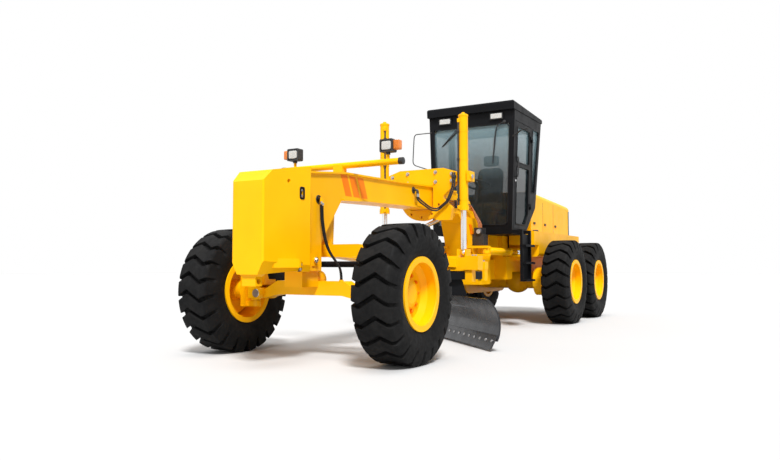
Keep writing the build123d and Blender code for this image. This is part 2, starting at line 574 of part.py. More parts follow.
with BuildPart() as counterweight:
    slab([(LEG_FRONT_X, 883), (LEG_FRONT_X + 160, 894), (FRONT_FACE_X, 862), (FRONT_FACE_X, 1720),
          (FRONT_FACE_X - 113, 1826), (FRONT_FACE_X - 290, 1858),
          (LEG_FRONT_X, 1906)], side_plane(0), 2 * NOSE_REAR_HALF)
    slab([(LEG_FRONT_X, -NOSE_REAR_HALF), (FRONT_FACE_X, -NOSE_FRONT_HALF), (FRONT_FACE_X, NOSE_FRONT_HALF),
          (LEG_FRONT_X, NOSE_REAR_HALF)], Plane.XY.offset(1300), 1600, mode=Mode.INTERSECT)
    fillet(counterweight.edges().filter_by(Axis.Z), radius=20)
    slab([(-80, 755), (80, 755), (80, 840), (165, 900), (-165, 900), (-80, 840)],
         cross_plane(TOW_EYE_X), 90)
    rod((TOW_EYE_X, -200, 800), (TOW_EYE_X, 200, 800), TOW_EYE_RADIUS, mode=Mode.SUBTRACT)
    for sign in (-1, 1):
        with BuildSketch(cross_plane(LEG_FRONT_X)) as rear_bevel:
            with BuildLine():
                Polyline((sign * (NOSE_REAR_HALF - 45), 850), (sign * (NOSE_REAR_HALF + 40), 850),
                         (sign * (NOSE_REAR_HALF + 40), 1030), close=True)
            make_face()
        with BuildSketch(cross_plane(FRONT_FACE_X)) as front_bevel:
            with BuildLine():
                Polyline((sign * (NOSE_FRONT_HALF - 77), 840), (sign * (NOSE_FRONT_HALF + 38), 840),
                         (sign * (NOSE_FRONT_HALF + 38), 1060), close=True)
            make_face()
        loft([rear_bevel.sketch, front_bevel.sketch], mode=Mode.SUBTRACT)
        taper = (NOSE_REAR_HALF - NOSE_FRONT_HALF) / (FRONT_FACE_X - LEG_FRONT_X)
        wedge_y = NOSE_REAR_HALF - (TOW_WEDGE_X[0] - LEG_FRONT_X) * taper + TOW_WEDGE_OUT
        slab([(TOW_WEDGE_X[1], sign * 150), (TOW_WEDGE_X[1], sign * (NOSE_FRONT_HALF + 10)),
              (TOW_WEDGE_X[0] + 30, sign * wedge_y), (TOW_WEDGE_X[0], sign * wedge_y),
              (TOW_WEDGE_X[0], sign * 150)],
             Plane.XY.offset(sum(TOW_WEDGE_Z) / 2), TOW_WEDGE_Z[1] - TOW_WEDGE_Z[0])
        for slot_z in BOLT_SLOTS:
            with BuildSketch(side_plane(sign * (NOSE_REAR_HALF - 60))) as slot:
                with Locations((BOLT_SLOT_X, sum(slot_z) / 2)):
                    SlotOverall(slot_z[1] - slot_z[0], BOLT_SLOT_WIDTH, rotation=90)
            extrude(slot.sketch, amount=-sign * 100, mode=Mode.SUBTRACT)
    rod((LIFT_HOLE[0], -300, LIFT_HOLE[1]), (LIFT_HOLE[0], 300, LIFT_HOLE[1]), LIFT_HOLE_RADIUS,
        mode=Mode.SUBTRACT)
keep(counterweight.part, "counterweight")

LAMP_BAR_X, LAMP_BAR_Z, LAMP_Y, LAMP_Z = FRONT_AXLE_X - 470, 2040, 620, 2210
with BuildPart() as lamp_bar:
    rod((LAMP_BAR_X, -800, LAMP_BAR_Z), (LAMP_BAR_X, 800, LAMP_BAR_Z), 35)
    block((LAMP_BAR_X - 45, LAMP_BAR_X + 45), (-60, 60), (1951, LAMP_BAR_Z + 10))
    for sign in (-1, 1):
        rod((LAMP_BAR_X, sign * LAMP_Y, LAMP_BAR_Z), (LAMP_BAR_X, sign * LAMP_Y, LAMP_Z - 70), 16)
keep(lamp_bar.part, "lamp_bar")

with BuildPart() as head_lamps:
    for sign in (-1, 1):
        block((LAMP_BAR_X - 55, LAMP_BAR_X + 50), (sign * (LAMP_Y - 80), sign * (LAMP_Y + 80)),
              (LAMP_Z - 70, LAMP_Z + 70))
    fillet(head_lamps.edges().filter_by(Axis.X), radius=16)
    chamfer(head_lamps.faces().group_by(Axis.X)[0].edges(), length=12)
    for sign in (-1, 1):
        block((LAMP_BAR_X + 38, LAMP_BAR_X + 60), (sign * (LAMP_Y - 66), sign * (LAMP_Y + 66)),
              (LAMP_Z - 56, LAMP_Z + 56), mode=Mode.SUBTRACT)
keep(head_lamps.part, "head_lamps")

with BuildPart() as lift_saddle:
    with BuildSketch(cross_plane(LIFT_X)) as plate:
        with Locations((0, SADDLE_Z)):
            Circle(SADDLE_RADIUS)
        with BuildLine():
            Polyline((-530, 2040), (-530, 2170), (-330, 2235), (330, 2235), (530, 2170), (530, 2040),
                     (250, 1800),
                     (-250, 1800), close=True)
        make_face()
        with BuildLine():
            Polyline((100, 1600), (250, 1540), (420, 1540), (450, 1700), (300, 1850), (100, 1850),
                     close=True)
        make_face()
        with Locations((0, SADDLE_Z)):
            with PolarLocations(INDEX_CIRCLE, INDEX_HOLES, start_angle=205, angular_range=130,
                                endpoint=True):
                Circle(INDEX_RADIUS, mode=Mode.SUBTRACT)
    extrude(plate.sketch, amount=SADDLE_THICKNESS / 2, both=True)
    block((0, 2 * LIFT_X), (-FLANGE_HALF_WIDTH - 0.5, FLANGE_HALF_WIDTH + 0.5), (1684, 2010),
          mode=Mode.SUBTRACT)
    for sign in (-1, 1):
        block((LIFT_X - 110, LIFT_X + 60), (sign * 490, sign * 530),
              (LIFT_TRUNNION_Z - 60, LIFT_TRUNNION_Z + 70))
        block((LIFT_X - 110, LIFT_X + 60), (sign * 670, sign * 710),
              (LIFT_TRUNNION_Z - 60, LIFT_TRUNNION_Z + 70))
        block((LIFT_X - 110, LIFT_X - 80), (sign * 490, sign * 710),
              (LIFT_TRUNNION_Z - 60, LIFT_TRUNNION_Z + 70))
        rod((LIFT_X, sign * 480, LIFT_TRUNNION_Z), (LIFT_X, sign * 720, LIFT_TRUNNION_Z), 35 + PIN_FIT,
            mode=Mode.SUBTRACT)
    for low, high in ((CENTRE_X - 56, CENTRE_X - 36), (CENTRE_X + 36, CENTRE_X + 56)):
        with BuildSketch(cross_plane(low)) as ear:
            with Locations(CENTRE_TOP):
                Circle(60)
        extrude(ear.sketch, amount=high - low)
    rod((CENTRE_X - 56, *CENTRE_TOP), (LIFT_X, *CENTRE_TOP), 22)
keep(lift_saddle.part, "lift_saddle")


def cylinder_barrel(start, end, radius, rod_radius):
    """Cylinder tube that is open at its end, where the rod comes out."""
    start, end = Vector(*start), Vector(*end)
    axis = (end - start).normalized()
    rod(start, end, radius)
    gland = end - axis * 60
    rod(gland, end, radius + 8)
    rod(start + axis * 70, end + axis * 10, rod_radius + PIN_FIT, mode=Mode.SUBTRACT)


CROSS_X = (LIFT_X - 80, LIFT_X + 80)
CROSS_Z = (885, 1065)
FRAME_Z = (885, 995)
BACK_CROSS_X = (CIRCLE_X - 500, CIRCLE_X - 380)
with BuildPart() as drawbar:
    with Locations(DRAWBAR_BALL):
        Sphere(BALL_RADIUS)
    rod((ball_x - 190, 0, ball_z - 8), (ball_x, 0, ball_z), 30)
    for sign in (-1, 1):
        strut((ball_x - 150, sign * 20, ball_z - 12), (CROSS_X[0] + 40, sign * 500, 965), 110, 110)
        block((BACK_CROSS_X[0], CROSS_X[1]), (sign * 450, sign * 560), FRAME_Z)
        for shoe_x in (sum(CROSS_X) / 2, sum(BACK_CROSS_X) / 2):
            shoe_y = math.sqrt((CIRCLE_OUTER + 30) ** 2 - (shoe_x - CIRCLE_X) ** 2)
            block((shoe_x - 55, shoe_x + 55), (sign * (shoe_y - 60), sign * (shoe_y + 50)),
                  (CIRCLE_Z[0] - 30, FRAME_Z[1]))
    block(CROSS_X, (-830, 830), CROSS_Z)
    block(BACK_CROSS_X, (-640, 640), FRAME_Z)
    block((CROSS_X[0], CROSS_X[0] + 30), (CENTRE_BASE[0] - 50, CENTRE_BASE[0] + 50),
          (CROSS_Z[0], CENTRE_BASE[1] + 50))
    rod((CIRCLE_X, 0, CIRCLE_Z[0] - SLIDE_FIT), (CIRCLE_X, 0, CIRCLE_Z[1] + 10), CIRCLE_OUTER + 5,
        mode=Mode.SUBTRACT)
    rod((CIRCLE_X, 0, CIRCLE_Z[0] - 60), (CIRCLE_X, 0, CIRCLE_Z[0]), CIRCLE_OUTER - 36, mode=Mode.SUBTRACT)
    for sign in (-1, 1):
        block((LIFT_X - 100, LIFT_X + 100), (sign * LIFT_Y - 46, sign * LIFT_Y + 46),
              (CROSS_Z[1] - 20, CROSS_Z[1] + 5),
              mode=Mode.SUBTRACT)
        for y in (sign * LIFT_Y - 57, sign * LIFT_Y + 57):
            block((LIFT_X - 70, LIFT_X + 70), (y - 11, y + 11), (CROSS_Z[1] - 20, LIFT_BALL_Z + 45))
keep(drawbar.part, "drawbar")

chord = math.dist((BLADE_EDGE_X, BLADE_EDGE_Z), (BLADE_TOP_X, BLADE_TOP_Z))
BLADE_RADIUS = chord ** 2 / (8 * BLADE_SAG) + BLADE_SAG / 2
lean = math.atan2(BLADE_TOP_X - BLADE_EDGE_X, BLADE_TOP_Z - BLADE_EDGE_Z)
mid = ((BLADE_EDGE_X + BLADE_TOP_X) / 2, (BLADE_EDGE_Z + BLADE_TOP_Z) / 2)
BLADE_CENTRE = (CIRCLE_X + mid[0] + (BLADE_RADIUS - BLADE_SAG) * math.cos(lean),
                mid[1] - (BLADE_RADIUS - BLADE_SAG) * math.sin(lean))


def blade_point(z, radius):
    """Point of an arc about the blade's centre at a height, on its rear side."""
    return BLADE_CENTRE[0] - math.sqrt(radius ** 2 - (z - BLADE_CENTRE[1]) ** 2), z


def turned(piece):
    """Turn a piece drawn square to the machine to the blade's angle."""
    return piece.rotate(Axis((CIRCLE_X, 0, 0), (0, 0, 1)), -BLADE_ANGLE)


RAILS = {z: blade_point(z, BLADE_RADIUS + BLADE_THICKNESS / 2)[0] for z in (TOP_RAIL_Z, BOTTOM_RAIL_Z)}
SHIFT_X = CIRCLE_X - 255
SHIFT_Z = 330
with BuildPart() as circle:
    with BuildSketch(Plane(origin=(CIRCLE_X, 0, CIRCLE_Z[0]))) as ring:
        Circle(CIRCLE_OUTER)
        Circle(CIRCLE_INNER, mode=Mode.SUBTRACT)
        with PolarLocations(CIRCLE_INNER + TOOTH_HEIGHT, CIRCLE_TEETH):
            Trapezoid(TOOTH_WIDTH, 2 * TOOTH_HEIGHT, 80, rotation=90, align=(Align.CENTER, Align.MIN))
    extrude(ring.sketch, amount=CIRCLE_Z[1] - CIRCLE_Z[0])
    for sign in (-1, 1):
        slab([(CIRCLE_X + 200, CIRCLE_Z[0]), (CIRCLE_X + 60, 610), (CIRCLE_X + 60, 70),
              (CIRCLE_X - 200, 70),
              (CIRCLE_X - 310, 280), (CIRCLE_X - 310, 420), (CIRCLE_X - 200, CIRCLE_Z[0])],
             side_plane(sign * ARM_Y), ARM_THICKNESS)
    block((CIRCLE_X - 200, CIRCLE_X - 90), (-ARM_Y, ARM_Y), (600, 700))
    rod((SHIFT_X, -1000, SHIFT_Z), (SHIFT_X, 350, SHIFT_Z), SHIFT_BARREL_RADIUS)
    rod((SHIFT_X, -960, SHIFT_Z), (SHIFT_X, 360, SHIFT_Z), SHIFT_ROD_RADIUS + PIN_FIT, mode=Mode.SUBTRACT)
    rod((SHIFT_X, 350.5, SHIFT_Z), (SHIFT_X, ARM_Y + 100, SHIFT_Z), SHIFT_ROD_RADIUS + RUNNING_GAP,
        mode=Mode.SUBTRACT)
    block((SHIFT_X - 40, SHIFT_X + 130), (180, 220), (SHIFT_Z + 30, 640))
    back = BLADE_RADIUS + BLADE_THICKNESS + RUNNING_GAP
    rod((BLADE_CENTRE[0], -700, BLADE_CENTRE[1]), (BLADE_CENTRE[0], 700, BLADE_CENTRE[1]), back,
        mode=Mode.SUBTRACT)
    for rail_z, rail_x in RAILS.items():
        block((rail_x - RAIL_SIZE - SLIDE_FIT, rail_x + RAIL_SIZE), (-700, 700),
              (rail_z - RAIL_SIZE / 2 - SLIDE_FIT, rail_z + RAIL_SIZE / 2 + SLIDE_FIT), mode=Mode.SUBTRACT)
keep(turned(circle.part), "circle")

BLADE_HALF = BLADE_LENGTH / 2
with BuildPart() as moldboard:
    foot, head = EDGE_HEIGHT - 40, BLADE_TOP_Z
    middle = (foot + head) / 2
    outer = BLADE_RADIUS + BLADE_THICKNESS
    with BuildSketch(side_plane(0)) as section:
        with BuildLine():
            ThreePointArc(blade_point(foot, BLADE_RADIUS), blade_point(middle, BLADE_RADIUS),
                          blade_point(head, BLADE_RADIUS))
            Line(blade_point(head, BLADE_RADIUS), blade_point(head, outer))
            ThreePointArc(blade_point(head, outer), blade_point(middle, outer), blade_point(foot, outer))
            Line(blade_point(foot, outer), blade_point(foot, BLADE_RADIUS))
        make_face()
    extrude(section.sketch, amount=BLADE_HALF, both=True)
    for rail_z, rail_x in RAILS.items():
        block((rail_x - RAIL_SIZE, rail_x), (-1500, 1500), (rail_z - RAIL_SIZE / 2, rail_z + RAIL_SIZE / 2))
    block((SHIFT_X - 50, blade_point(SHIFT_Z, BLADE_RADIUS + 10)[0]), (SHIFT_LUG_Y - 20, SHIFT_LUG_Y + 20),
          (SHIFT_Z - 50, SHIFT_Z + 50))
    rod((SHIFT_X, -400, SHIFT_Z), (SHIFT_X, SHIFT_LUG_Y, SHIFT_Z), SHIFT_ROD_RADIUS)
keep(turned(moldboard.part.translate((0, BLADE_REST_SHIFT, 0))), "moldboard")

with BuildPart() as cutting_edge:
    top = blade_point(BLADE_EDGE_Z + EDGE_HEIGHT, BLADE_RADIUS)
    toe = blade_point(BLADE_EDGE_Z, BLADE_RADIUS)
    slab([toe, top, (top[0] + EDGE_THICKNESS, top[1]), (toe[0] + EDGE_THICKNESS, toe[1])], side_plane(0),
         BLADE_LENGTH)
    rod((BLADE_CENTRE[0], -BLADE_HALF, BLADE_CENTRE[1]), (BLADE_CENTRE[0], BLADE_HALF, BLADE_CENTRE[1]),
        BLADE_RADIUS - 0.05, mode=Mode.INTERSECT)
keep(turned(cutting_edge.part.translate((0, BLADE_REST_SHIFT, 0))), "cutting_edge")

for side_name, side_sign in SIDES.items():
    lift = (LIFT_X, side_sign * LIFT_Y)
    with BuildPart() as lift_barrel:
        cylinder_barrel((*lift, LIFT_BARREL[1]), (*lift, LIFT_BARREL[0]), LIFT_BARREL_RADIUS,
                        LIFT_ROD_RADIUS)
        rod((LIFT_X, side_sign * (LIFT_Y - 110), LIFT_TRUNNION_Z),
            (LIFT_X, side_sign * (LIFT_Y - 30), LIFT_TRUNNION_Z), 35)
        rod((LIFT_X, side_sign * (LIFT_Y + 30), LIFT_TRUNNION_Z),
            (LIFT_X, side_sign * (LIFT_Y + 125), LIFT_TRUNNION_Z), 35)
        rod((*lift, LIFT_BARREL[1] - 70), (*lift, LIFT_BARREL[0] - 10), LIFT_ROD_RADIUS + PIN_FIT,
            mode=Mode.SUBTRACT)
    keep(lift_barrel.part, f"lift_barrel_{side_name}")
    with BuildPart() as lift_rod:
        rod((*lift, LIFT_BALL_Z), (*lift, LIFT_BALL_Z + 1170), LIFT_ROD_RADIUS)
        with Locations((*lift, LIFT_BALL_Z)):
            Sphere(LIFT_BALL_RADIUS)
    keep(lift_rod.part, f"lift_rod_{side_name}")
    base = (ARTIC_FRONT_X, side_sign * ARTIC_Y, ARTIC_Z)
    mouth = (ARTIC_FRONT_X - ARTIC_BARREL_LENGTH, side_sign * ARTIC_Y, ARTIC_Z)
    tip = (ARTIC_REAR_X, side_sign * ARTIC_Y, ARTIC_Z)
    with BuildPart() as artic_barrel:
        cylinder_barrel((base[0] - 40, *base[1:]), mouth, ARTIC_BARREL_RADIUS, ARTIC_ROD_RADIUS)
        block((base[0] - 80, base[0] + 10), (base[1] - 40, base[1] + 40), (ARTIC_Z - 36, ARTIC_Z + 36))
        rod((*base[:2], ARTIC_Z - 36), (*base[:2], ARTIC_Z + 36), 48)
        block((base[0] - 120, base[0] + 60), (base[1] - 60, base[1] + 60), (ARTIC_Z + 36, ARTIC_Z + 80),
              mode=Mode.SUBTRACT)
        block((base[0] - 120, base[0] + 60), (base[1] - 60, base[1] + 60), (ARTIC_Z - 80, ARTIC_Z - 36),
              mode=Mode.SUBTRACT)
        rod((*base[:2], ARTIC_Z - 80), (*base[:2], ARTIC_Z + 80), 25 + PIN_FIT, mode=Mode.SUBTRACT)
    keep(artic_barrel.part, f"artic_barrel_{side_name}")
    with BuildPart() as artic_rod:
        rod((tip[0] + 40, *tip[1:]), (tip[0] + 770, *tip[1:]), ARTIC_ROD_RADIUS)
        rod((*tip[:2], ARTIC_Z - 30), (*tip[:2], ARTIC_Z + 30), 48)
    keep(artic_rod.part, f"artic_rod_{side_name}")

centre_top = Vector(CENTRE_X, *CENTRE_TOP)
centre_base = Vector(CENTRE_X, *CENTRE_BASE)
centre_axis = (centre_base - centre_top).normalized()
centre_mouth = centre_base - centre_axis * CENTRE_BARREL_LENGTH
with BuildPart() as centre_rod:
    rod(centre_top + centre_axis * 30, centre_base - centre_axis * 340, CENTRE_ROD_RADIUS)
    rod(centre_top - Vector(30, 0, 0), centre_top + Vector(30, 0, 0), 45)
    rod(centre_top - Vector(35, 0, 0), centre_top + Vector(35, 0, 0), 22 + PIN_FIT, mode=Mode.SUBTRACT)
keep(centre_rod.part, "centre_shift_rod")
with BuildPart() as centre_barrel:
    cylinder_barrel(centre_base - centre_axis * 40, centre_mouth, CENTRE_BARREL_RADIUS - 20,
                    CENTRE_ROD_RADIUS)
    rod(centre_base - Vector(28, 0, 0), centre_base + Vector(28, 0, 0), 48)
keep(centre_barrel.part, "centre_shift_barrel")

with BuildPart() as rear_frame:
    pin = (ARTICULATION_X, 0)
    rod((*pin, HINGE_BOTTOM[0] - 15), (*pin, HINGE_TOP[1] + 15), HINGE_PIN_RADIUS)
    rod((*pin, HINGE_BLOCK[0]), (*pin, HINGE_BLOCK[1]), 140)
    block((-1560, ARTICULATION_X), (-130, 130), HINGE_BLOCK)
    slab([(-1560, HINGE_BLOCK[0]), (-1300, HINGE_BLOCK[0]), (-1300, RAIL_Z[1]), (-1560, RAIL_Z[1])],
         side_plane(0),
         2 * RAIL_Y[1])
    for sign in (-1, 1):
        block((-4330, -1560), (sign * RAIL_Y[0], sign * RAIL_Y[1]), RAIL_Z)
        block((-1605, -1445), (sign * 300, sign * (ARTIC_Y + 55)), (ARTIC_Z - 66, ARTIC_Z - 36))
        block((-1605, -1445), (sign * 300, sign * (ARTIC_Y + 55)), (ARTIC_Z + 36, ARTIC_Z + 66))
        block((-1630, -1600), (sign * 300, sign * (ARTIC_Y + 55)), (RAIL_Z[1] - 60, ARTIC_Z + 66))
    for x in (-2100, -3400, -4200):
        block((x - 60, x + 60), (-RAIL_Y[1], RAIL_Y[1]), (RAIL_Z[0] + 40, RAIL_Z[1] - 40))
    block((-1500, -1260), (-280, 280), (RAIL_Z[1], CAB_FLOOR_Z))
    block((-1300, -900), (-200, 200), (HINGE_TOP[1] + 40, CAB_FLOOR_Z))
    block((-4380, -4330), (-640, 640), (700, 1100))
    for low, high in ((760, 790), (840, 870)):
        slab([(-4380, -110), (-4380, 110), (REAR_FACE_X, 60), (REAR_FACE_X, -60)],
             Plane.XY.offset((low + high) / 2), high - low)
    rod((-4425, 0, 740), (-4425, 0, 890), HITCH_PIN_RADIUS, mode=Mode.SUBTRACT)
keep(rear_frame.part, "rear_frame")

with BuildPart() as tandem_axle:
    rod((TANDEM_X, -CASE_Y[0] - 20, TYRE_RADIUS), (TANDEM_X, CASE_Y[0] + 20, TYRE_RADIUS), 150)
    with Locations((TANDEM_X, 0, TYRE_RADIUS)):
        Sphere(230)
    block((TANDEM_X - 400, TANDEM_X + 400), (-400, 400), (RAIL_Z[0], 1400), mode=Mode.SUBTRACT)
    for sign in (-1, 1):
        block((TANDEM_X - 160, TANDEM_X + 160), (sign * RAIL_Y[0], sign * RAIL_Y[1]),
              (TYRE_RADIUS, RAIL_Z[0]))
        with BuildSketch(side_plane(sign * CASE_Y[0])) as case:
            with Locations((TANDEM_X, TYRE_RADIUS)):
                SlotOverall(TANDEM_SPACING + CASE_HEIGHT, CASE_HEIGHT)
        extrude(case.sketch, amount=-sign * (CASE_Y[1] - CASE_Y[0]))
        for x in (MIDDLE_X, BACK_X):
            rod((x, sign * CASE_Y[1], TYRE_RADIUS), (x, sign * (HUB_INNER_Y - 2), TYRE_RADIUS), 105)
            rod((x, sign * CASE_Y[1], TYRE_RADIUS), (x, sign * SPINDLE_END, TYRE_RADIUS), SPINDLE_RADIUS)
keep(tandem_axle.part, "tandem_axle")

with BuildPart() as engine_block:
    block((-3900, -2700), (-235, 235), (RAIL_Z[0] + 60, 1850))
    block((-2700, -2300), (-180, 180), (RAIL_Z[0] + 60, 1250))
    block((-3460, -3340), (-300, 300), (RAIL_Z[0], RAIL_Z[1] - 40), mode=Mode.SUBTRACT)
keep(engine_block.part, "engine_block")

with BuildPart() as side_tanks:
    for sign in (-1, 1):
        block(TANK_X, (sign * TANK_Y[0], sign * TANK_Y[1]), TANK_Z)
        block((TANK_X[1], TANK_NOSE_X), (sign * TANK_NOSE_Y, sign * TANK_Y[1]), (TANK_NOSE_Z, TANK_Z[1]))
    bottom = side_tanks.edges().filter_by(Axis.X).group_by(Axis.Z)[0].sort_by(Axis.Y)
    fillet([bottom[0], bottom[-1]], radius=60)
keep(side_tanks.part, "side_tanks")

HOOD_SIDE = [(HOOD_X[0], TANK_Z[1]), (HOOD_X[0], HOOD_REAR_Z), (HOOD_X[1], HOOD_FRONT_Z),
             (HOOD_X[1], TANK_Z[1])]
with BuildPart() as engine_hood:
    slab(HOOD_SIDE, side_plane(0), 2 * HOOD_HALF_WIDTH)
    fillet(engine_hood.faces().sort_by(Axis.Z)[-1].edges(), radius=90)
    offset(amount=-HOOD_WALL, openings=engine_hood.faces().sort_by(Axis.Z)[0])
    block((HOOD_X[0] - 10, HOOD_X[0] + 60), (-360, 360), (TANK_Z[1] + 90, HOOD_REAR_Z - 150),
          mode=Mode.SUBTRACT)
    for row in range(9):
        z = TANK_Z[1] + 110 + row * 38
        block((HOOD_X[0] + 2, HOOD_X[0] + 16), (-370, 370), (z, z + 16))
keep(engine_hood.part, "engine_hood")

CAB_SLOPE = (CAB_TOP_HALF - CAB_FLOOR_HALF) / (CAB_TOP_Z - CAB_FLOOR_Z)
CAB_TILT = math.atan(CAB_SLOPE)
DOOR_REAR_X = -1440
DOOR_FRONT_X = CAB_FRONT_X - 60


def wall_plane(side):
    """Plane of a cab side wall's outer face: local axes are X and the height up the wall."""
    y_dir = Vector(0, side * math.sin(CAB_TILT), math.cos(CAB_TILT))
    return Plane(origin=(0, side * CAB_FLOOR_HALF, CAB_FLOOR_Z), x_dir=(1, 0, 0),
                 z_dir=Vector(1, 0, 0).cross(y_dir))


def wall_panel(outline, side, depth, inset=0, mode=Mode.ADD):
    """Panel in a cab side wall, set in from its outer face."""
    plane = wall_plane(side).offset(side * inset)
    with BuildSketch(plane) as face:
        with BuildLine():
            Polyline(*outline, close=True)
        make_face()
    extrude(face.sketch, amount=side * depth, mode=mode)


def wall_half(z):
    """Half the cab's width at a height."""
    return CAB_FLOOR_HALF + (z - CAB_FLOOR_Z) * CAB_SLOPE


def rear_wall_x(z):
    """Place of the cab's rear face at a height above its kink."""
    share = (z - CAB_KINK[1]) / (CAB_TOP_Z - CAB_KINK[1])
    return CAB_KINK[0] + share * (CAB_REAR_TOP_X - CAB_KINK[0])


def end_window(low, high, margin):
    """Outline of a window in the cab's front or rear, a margin in from its side walls."""
    bottom, top = wall_half(low) - margin, wall_half(high) - margin
    return [(-bottom, low), (bottom, low), (top, high), (-top, high)]


WALL_HEIGHT = (CAB_TOP_Z - CAB_FLOOR_Z) / math.cos(CAB_TILT)
DOOR_TOP = WALL_HEIGHT - 157
DOOR_RAIL = 0.64 * DOOR_TOP
DOOR_HINGES = (420, DOOR_TOP - 240)
DOOR_OPENING = [(DOOR_FRONT_X, 80), (DOOR_FRONT_X, DOOR_TOP), (DOOR_REAR_X, DOOR_TOP), (DOOR_REAR_X, 290),
                (-1262, 80)]
DOOR = [(DOOR_FRONT_X - DOOR_GAP, 88), (DOOR_FRONT_X - DOOR_GAP, DOOR_TOP - DOOR_GAP),
        (DOOR_REAR_X + DOOR_GAP, DOOR_TOP - DOOR_GAP), (DOOR_REAR_X + DOOR_GAP, 294), (-1265, 88)]
DOOR_WINDOWS = [[(-800, DOOR_RAIL), (-800, DOOR_TOP - 80), (-1370, DOOR_TOP - 80), (-1370, DOOR_RAIL)],
                [(-800, 160), (-800, DOOR_RAIL - 60), (-1370, DOOR_RAIL - 60), (-1370, 330), (-1235, 160)]]
REAR_WINDOW = [(-1510, 700), (-1510, DOOR_TOP - 10),
               (rear_wall_x(CAB_FLOOR_Z + DOOR_TOP - 10) + 90, DOOR_TOP - 10),
               (rear_wall_x(CAB_FLOOR_Z + 700) + 90, 700)]
CAB_SIDE = [(CAB_FRONT_X, CAB_FLOOR_Z), (CAB_FRONT_X, CAB_TOP_Z), (CAB_REAR_TOP_X, CAB_TOP_Z), CAB_KINK,
            CAB_SLANT_FOOT]
CAB_INSIDE = [(CAB_FRONT_X - CAB_WALL, CAB_FLOOR_Z + FLOOR_THICKNESS),
              (CAB_FRONT_X - CAB_WALL, CAB_TOP_Z - 40),
              (CAB_REAR_TOP_X + CAB_WALL, CAB_TOP_Z - 40), (CAB_KINK[0] + CAB_WALL, CAB_KINK[1] + 12),
              (CAB_SLANT_FOOT[0] - 20, CAB_FLOOR_Z + FLOOR_THICKNESS)]
FRONT_WINDOW = end_window(CAB_FLOOR_Z + 146, CAB_TOP_Z - 200, WINDOW_MARGIN)
BACK_WINDOW = end_window(CAB_KINK[1] + 275, CAB_TOP_Z - 150, WINDOW_MARGIN + 45)


def hinge_point(side, height):
    """Point on a door's hinge axis at a height up the wall."""
    return wall_plane(side).from_local_coords((DOOR_REAR_X + DOOR_GAP / 2, height, -side * DOOR_HINGE_OUT))


def hinge_knuckle(side, height, reach):
    """Half of a door hinge: a knuckle on the axis and the leaf that holds it to its panel."""
    axis_x = DOOR_REAR_X + DOOR_GAP / 2
    near, far = axis_x + math.copysign(9, reach), axis_x + reach
    top = height + DOOR_KNUCKLE
    rod(hinge_point(side, height), hinge_point(side, top), DOOR_HINGE_RADIUS)
    wall_panel([(near, height), (far, height), (far, top), (near, top)], side, DOOR_HINGE_OUT + 4,
               inset=-DOOR_HINGE_OUT - 4)


def cab_section(inset):
    """Outline of the cab seen from the front, drawn in from its outer faces."""
    low, high = CAB_FLOOR_HALF - inset, CAB_TOP_HALF - inset
    return [(-low, CAB_FLOOR_Z), (low, CAB_FLOOR_Z), (high, CAB_TOP_Z), (-high, CAB_TOP_Z)]


with BuildPart() as cab_cavity:
    slab(CAB_INSIDE, side_plane(0), 2 * CAB_TOP_HALF)
    slab(cab_section(CAB_WALL), cross_plane(0), 8000, mode=Mode.INTERSECT)

with BuildPart() as cab_shell:
    slab(CAB_SIDE, side_plane(0), 2 * CAB_TOP_HALF)
    slab(cab_section(0), cross_plane(0), 8000, mode=Mode.INTERSECT)
    add(cab_cavity.part, mode=Mode.SUBTRACT)
    for sign in (-1, 1):
        wall_panel(DOOR_OPENING, sign, 2 * CAB_WALL, inset=-CAB_WALL / 2, mode=Mode.SUBTRACT)
        wall_panel(REAR_WINDOW, sign, 2 * CAB_WALL, inset=-CAB_WALL / 2, mode=Mode.SUBTRACT)
    slab(FRONT_WINDOW, cross_plane(CAB_FRONT_X), 4 * CAB_WALL, mode=Mode.SUBTRACT)
    slab(BACK_WINDOW, cross_plane(CAB_REAR_TOP_X + 90), 8 * CAB_WALL, mode=Mode.SUBTRACT)
    for sign in (-1, 1):
        for height in DOOR_HINGES:
            hinge_knuckle(sign, height, -64)
            rod(hinge_point(sign, height), hinge_point(sign, height + 2 * DOOR_KNUCKLE), DOOR_PIN_RADIUS)
keep(cab_shell.part, "cab_shell")

with BuildPart() as cab_roof:
    slab([(ROOF_X[1], ROOF_FRONT_Z), (ROOF_X[1] - 10, CAB_TOP_Z), (ROOF_X[0], CAB_TOP_Z),
          (ROOF_X[0], ROOF_REAR_Z)],
         side_plane(0), 2 * ROOF_HALF)
    fillet(cab_roof.faces().sort_by(Axis.Z)[-1].edges(), radius=35)
keep(cab_roof.part, "cab_roof")

with BuildPart() as cab_glass:
    slab(FRONT_WINDOW, cross_plane(CAB_FRONT_X - CAB_WALL / 2), GLASS_THICKNESS)
    for sign in (-1, 1):
        wall_panel(REAR_WINDOW, sign, GLASS_THICKNESS, inset=(CAB_WALL - GLASS_THICKNESS) / 2)
    with BuildSketch(cross_plane(0)) as pane:
        with BuildLine():
            Polyline(*BACK_WINDOW, close=True)
        make_face()
    rear_mid = [(CAB_REAR_TOP_X + CAB_WALL / 2, CAB_TOP_Z),
                (CAB_REAR_TOP_X + CAB_WALL / 2 + GLASS_THICKNESS, CAB_TOP_Z),
                (CAB_KINK[0] + CAB_WALL / 2 + GLASS_THICKNESS, CAB_KINK[1]),
                (CAB_KINK[0] + CAB_WALL / 2, CAB_KINK[1])]
    with BuildSketch(side_plane(0)) as slice_face:
        with BuildLine():
            Polyline(*rear_mid, close=True)
        make_face()
    back_pane = extrude(pane.sketch, amount=-3000, mode=Mode.PRIVATE)
    back_slice = extrude(slice_face.sketch, amount=1000, both=True, mode=Mode.PRIVATE)
    add(back_pane & back_slice)
keep(cab_glass.part, "cab_glass")

